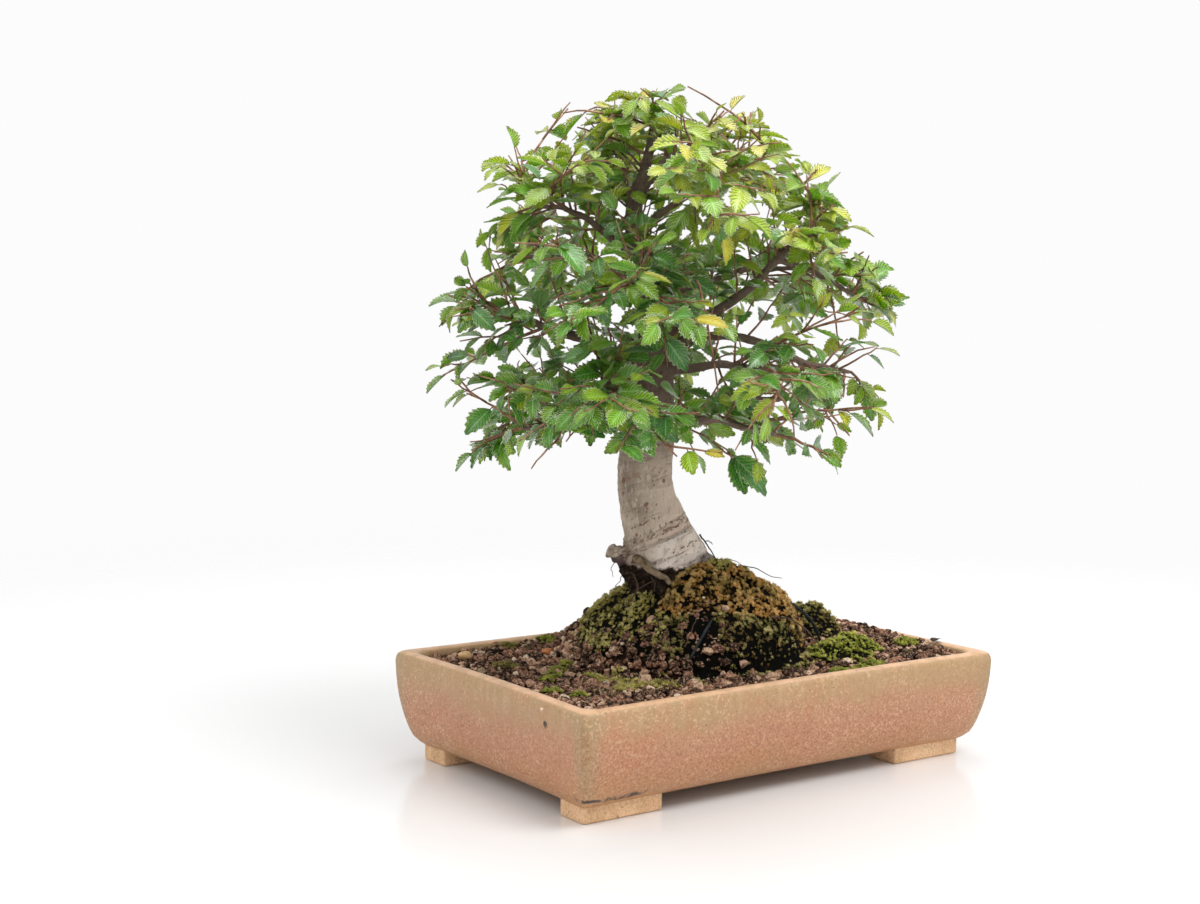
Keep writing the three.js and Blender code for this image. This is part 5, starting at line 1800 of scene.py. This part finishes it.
FILLING_KEY = 400
wood = [smooth_line([tree_place(*point) for point in way]) for way, start, end in BRANCHES] + [stem]
forks = [line(step / 20) for line in wood for step in range(8, 21)]
bm = new_foliage()
for number, end in enumerate(FILLING_TWIGS):
    key = number + FILLING_KEY
    end = tree_place(*end)
    start = min(forks, key=lambda spot: (spot - end).length)
    run = end - start
    line = within_crown(bent_line(start, start + run * 0.5 + UP * 3, end))
    line = thin_twig(bm, line, 0.8, 0.4, 8, key)
    for side in range(3):
        aside = level_across(line) * (0.9 if side % 2 else -0.9)
        direction = (run.normalized() + aside + UP * 0.4 * sway(number, side, 121)).normalized()
        grow_side_twig(bm, line(0.4 + 0.25 * side), direction, 22, 4, LEAF_LENGTH * 0.9, key, side)
    dress_twig(bm, line, 7, 0.3, 0.97, LEAF_LENGTH, 0.95, key)
finish_piece("filling_shoots", bm, [leaf, twig])

# Three things that the eye meets first: a long bare shoot that hangs in front of the crown, two large
# old leaves under it, and a dry scrap on the pot's rim
HANGING_TWIG = [(-6, -66, 240), (-4.4, -70, 235.5), (-1.4, -71, 222.8), (1.6, -72, 208.2), (4.7, -71, 188.9)]
LARGE_LEAVES = [((13, -45, 156), (21, -46, 139)), ((14, -45, 156.5), (32, -48, 141))]
bm = new_foliage()
line = smooth_line([tree_place(*point) for point in HANGING_TWIG])
thin_twig(bm, line, 0.7, 0.4, 16, 171)
twig_end = smooth_line([tree_place(*point) for point in [(4, -40, 163), (9, -43, 159.5), (13.5, -45, 156.5)]])
thin_twig(bm, twig_end, 0.6, 0.4, 6, 172)
for number, (start, end) in enumerate(LARGE_LEAVES):
    run = tree_place(*end) - tree_place(*start)
    facing = tree_place(0.3, -1, 0.5)
    face = (facing - run.normalized() * facing.dot(run.normalized())).normalized()
    side = run.normalized().cross(face)
    turn = Matrix((side, run.normalized(), face)).transposed().to_4x4()
    place = Matrix.Translation(tree_place(*start)) @ turn @ Matrix.Scale(run.length, 4)
    stamp(bm, LEAF_SHAPES[number], place, 0.05)
finish_piece("front_shoots", bm, [leaf, twig])

bm = new_foliage()
scrap_turn = Matrix.Rotation(math.radians(-70), 4, "Z") @ Matrix.Rotation(math.radians(18), 4, "X")
stamp(bm, LEAF_SHAPES[3], Matrix.Translation((114, -52, 55.2)) @ scrap_turn @ Matrix.Scale(9, 4), 0)
dry_leaf = Finish("dry_leaf", Roughness=0.9)
dry_leaf.colour(dry_leaf.ramp(dry_leaf.cloud(300, 3), [(0.3, "1c140e"), (0.7, "463425")]))
finish_piece("rim_scrap", bm, [dry_leaf, twig])

# Stage. A plain pale floor under soft studio light, and the camera.

FLOOR_REACH = 4000
CAMERA_TURN = math.radians(-35.75)
CAMERA_RISE = math.radians(5.61)
CAMERA_ROLL = math.radians(0.659)
CAMERA_AWAY = 965.69
CAMERA_LENS = 58.235
AIM_SIDE = -49.26
AIM_UP = 154.23

floor_bm = bmesh.new()
bmesh.ops.create_circle(floor_bm, cap_ends=True, segments=96, radius=FLOOR_REACH)
floor_finish = Finish("pale_floor", Roughness=0.16, Base_Color=(0.8, 0.8, 0.8, 1))
away = floor_finish.node("ShaderNodeVectorMath", operation="LENGTH")
floor_finish.feed(away, {0: floor_finish.place})
floor_finish.feed(floor_finish.shader, {"Alpha": floor_finish.fade(away.outputs["Value"], 0.4, 1.0, 1, 0)})
bmesh.ops.scale(floor_bm, vec=Vector((MM, MM, MM)), verts=floor_bm.verts)
floor_mesh = bpy.data.meshes.new("floor")
floor_bm.to_mesh(floor_mesh)
floor_bm.free()
floor_mesh.materials.append(floor_finish.material)
floor = bpy.data.objects.new("floor", floor_mesh)
bpy.context.scene.collection.objects.link(floor)
floor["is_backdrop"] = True

# The studio's walls are white, and give the tree less light than the camera sees
AMBIENT = 0.8
BACKDROP = 0.975
world = bpy.data.worlds.new("soft_studio")
world.use_nodes = True
backdrop = world.node_tree.nodes["Background"]
backdrop.inputs["Color"].default_value = (1, 1, 1, 1)
seen = world.node_tree.nodes.new("ShaderNodeLightPath").outputs["Is Camera Ray"]
strength = world.node_tree.nodes.new("ShaderNodeMapRange")
strength.inputs["To Min"].default_value = AMBIENT
strength.inputs["To Max"].default_value = BACKDROP
world.node_tree.links.new(seen, strength.inputs["Value"])
world.node_tree.links.new(strength.outputs[0], backdrop.inputs["Strength"])
bpy.context.scene.world = world
bpy.context.scene.view_settings.view_transform = "Standard"


def soft_light(name, turn, rise, away, size, power):
    """A square soft light that faces the tree from a turn and a rise, in degrees."""
    lamp = bpy.data.lights.new(name, "AREA")
    lamp.shape = "SQUARE"
    lamp.size = size
    lamp.energy = power
    lit = bpy.data.objects.new(name, lamp)
    bpy.context.scene.collection.objects.link(lit)
    turn, rise = math.radians(turn), math.radians(rise)
    back = Vector((math.sin(turn) * math.cos(rise), -math.cos(turn) * math.cos(rise), math.sin(rise)))
    aim = Vector((0, 0, 0.15))
    lit.location = aim + back * away
    lit.rotation_euler = back.to_track_quat("Z", "Y").to_euler()


soft_light("key", 20, 56, 1.4, 0.8, 14)
soft_light("fill", -95, 40, 1.6, 1.2, 5)
soft_light("top", 150, 75, 1.5, 1.0, 8)

back = Vector((
    math.sin(CAMERA_TURN) * math.cos(CAMERA_RISE),
    -math.cos(CAMERA_TURN) * math.cos(CAMERA_RISE),
    math.sin(CAMERA_RISE),
))
level_right = Vector((math.cos(CAMERA_TURN), math.sin(CAMERA_TURN), 0))
upright = back.cross(level_right)
right = level_right * math.cos(CAMERA_ROLL) + upright * math.sin(CAMERA_ROLL)
aim = right * AIM_SIDE + Vector((0, 0, AIM_UP))
camera_data = bpy.data.cameras.new("camera")
camera_data.lens = CAMERA_LENS
camera_data.sensor_width = 36
camera = bpy.data.objects.new("camera", camera_data)
bpy.context.scene.collection.objects.link(camera)
camera.matrix_world = Matrix.Translation((aim + back * CAMERA_AWAY) * MM) @ Matrix(
    (right, back.cross(right), back)
).transposed().to_4x4()
bpy.context.scene.camera = camera

low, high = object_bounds()
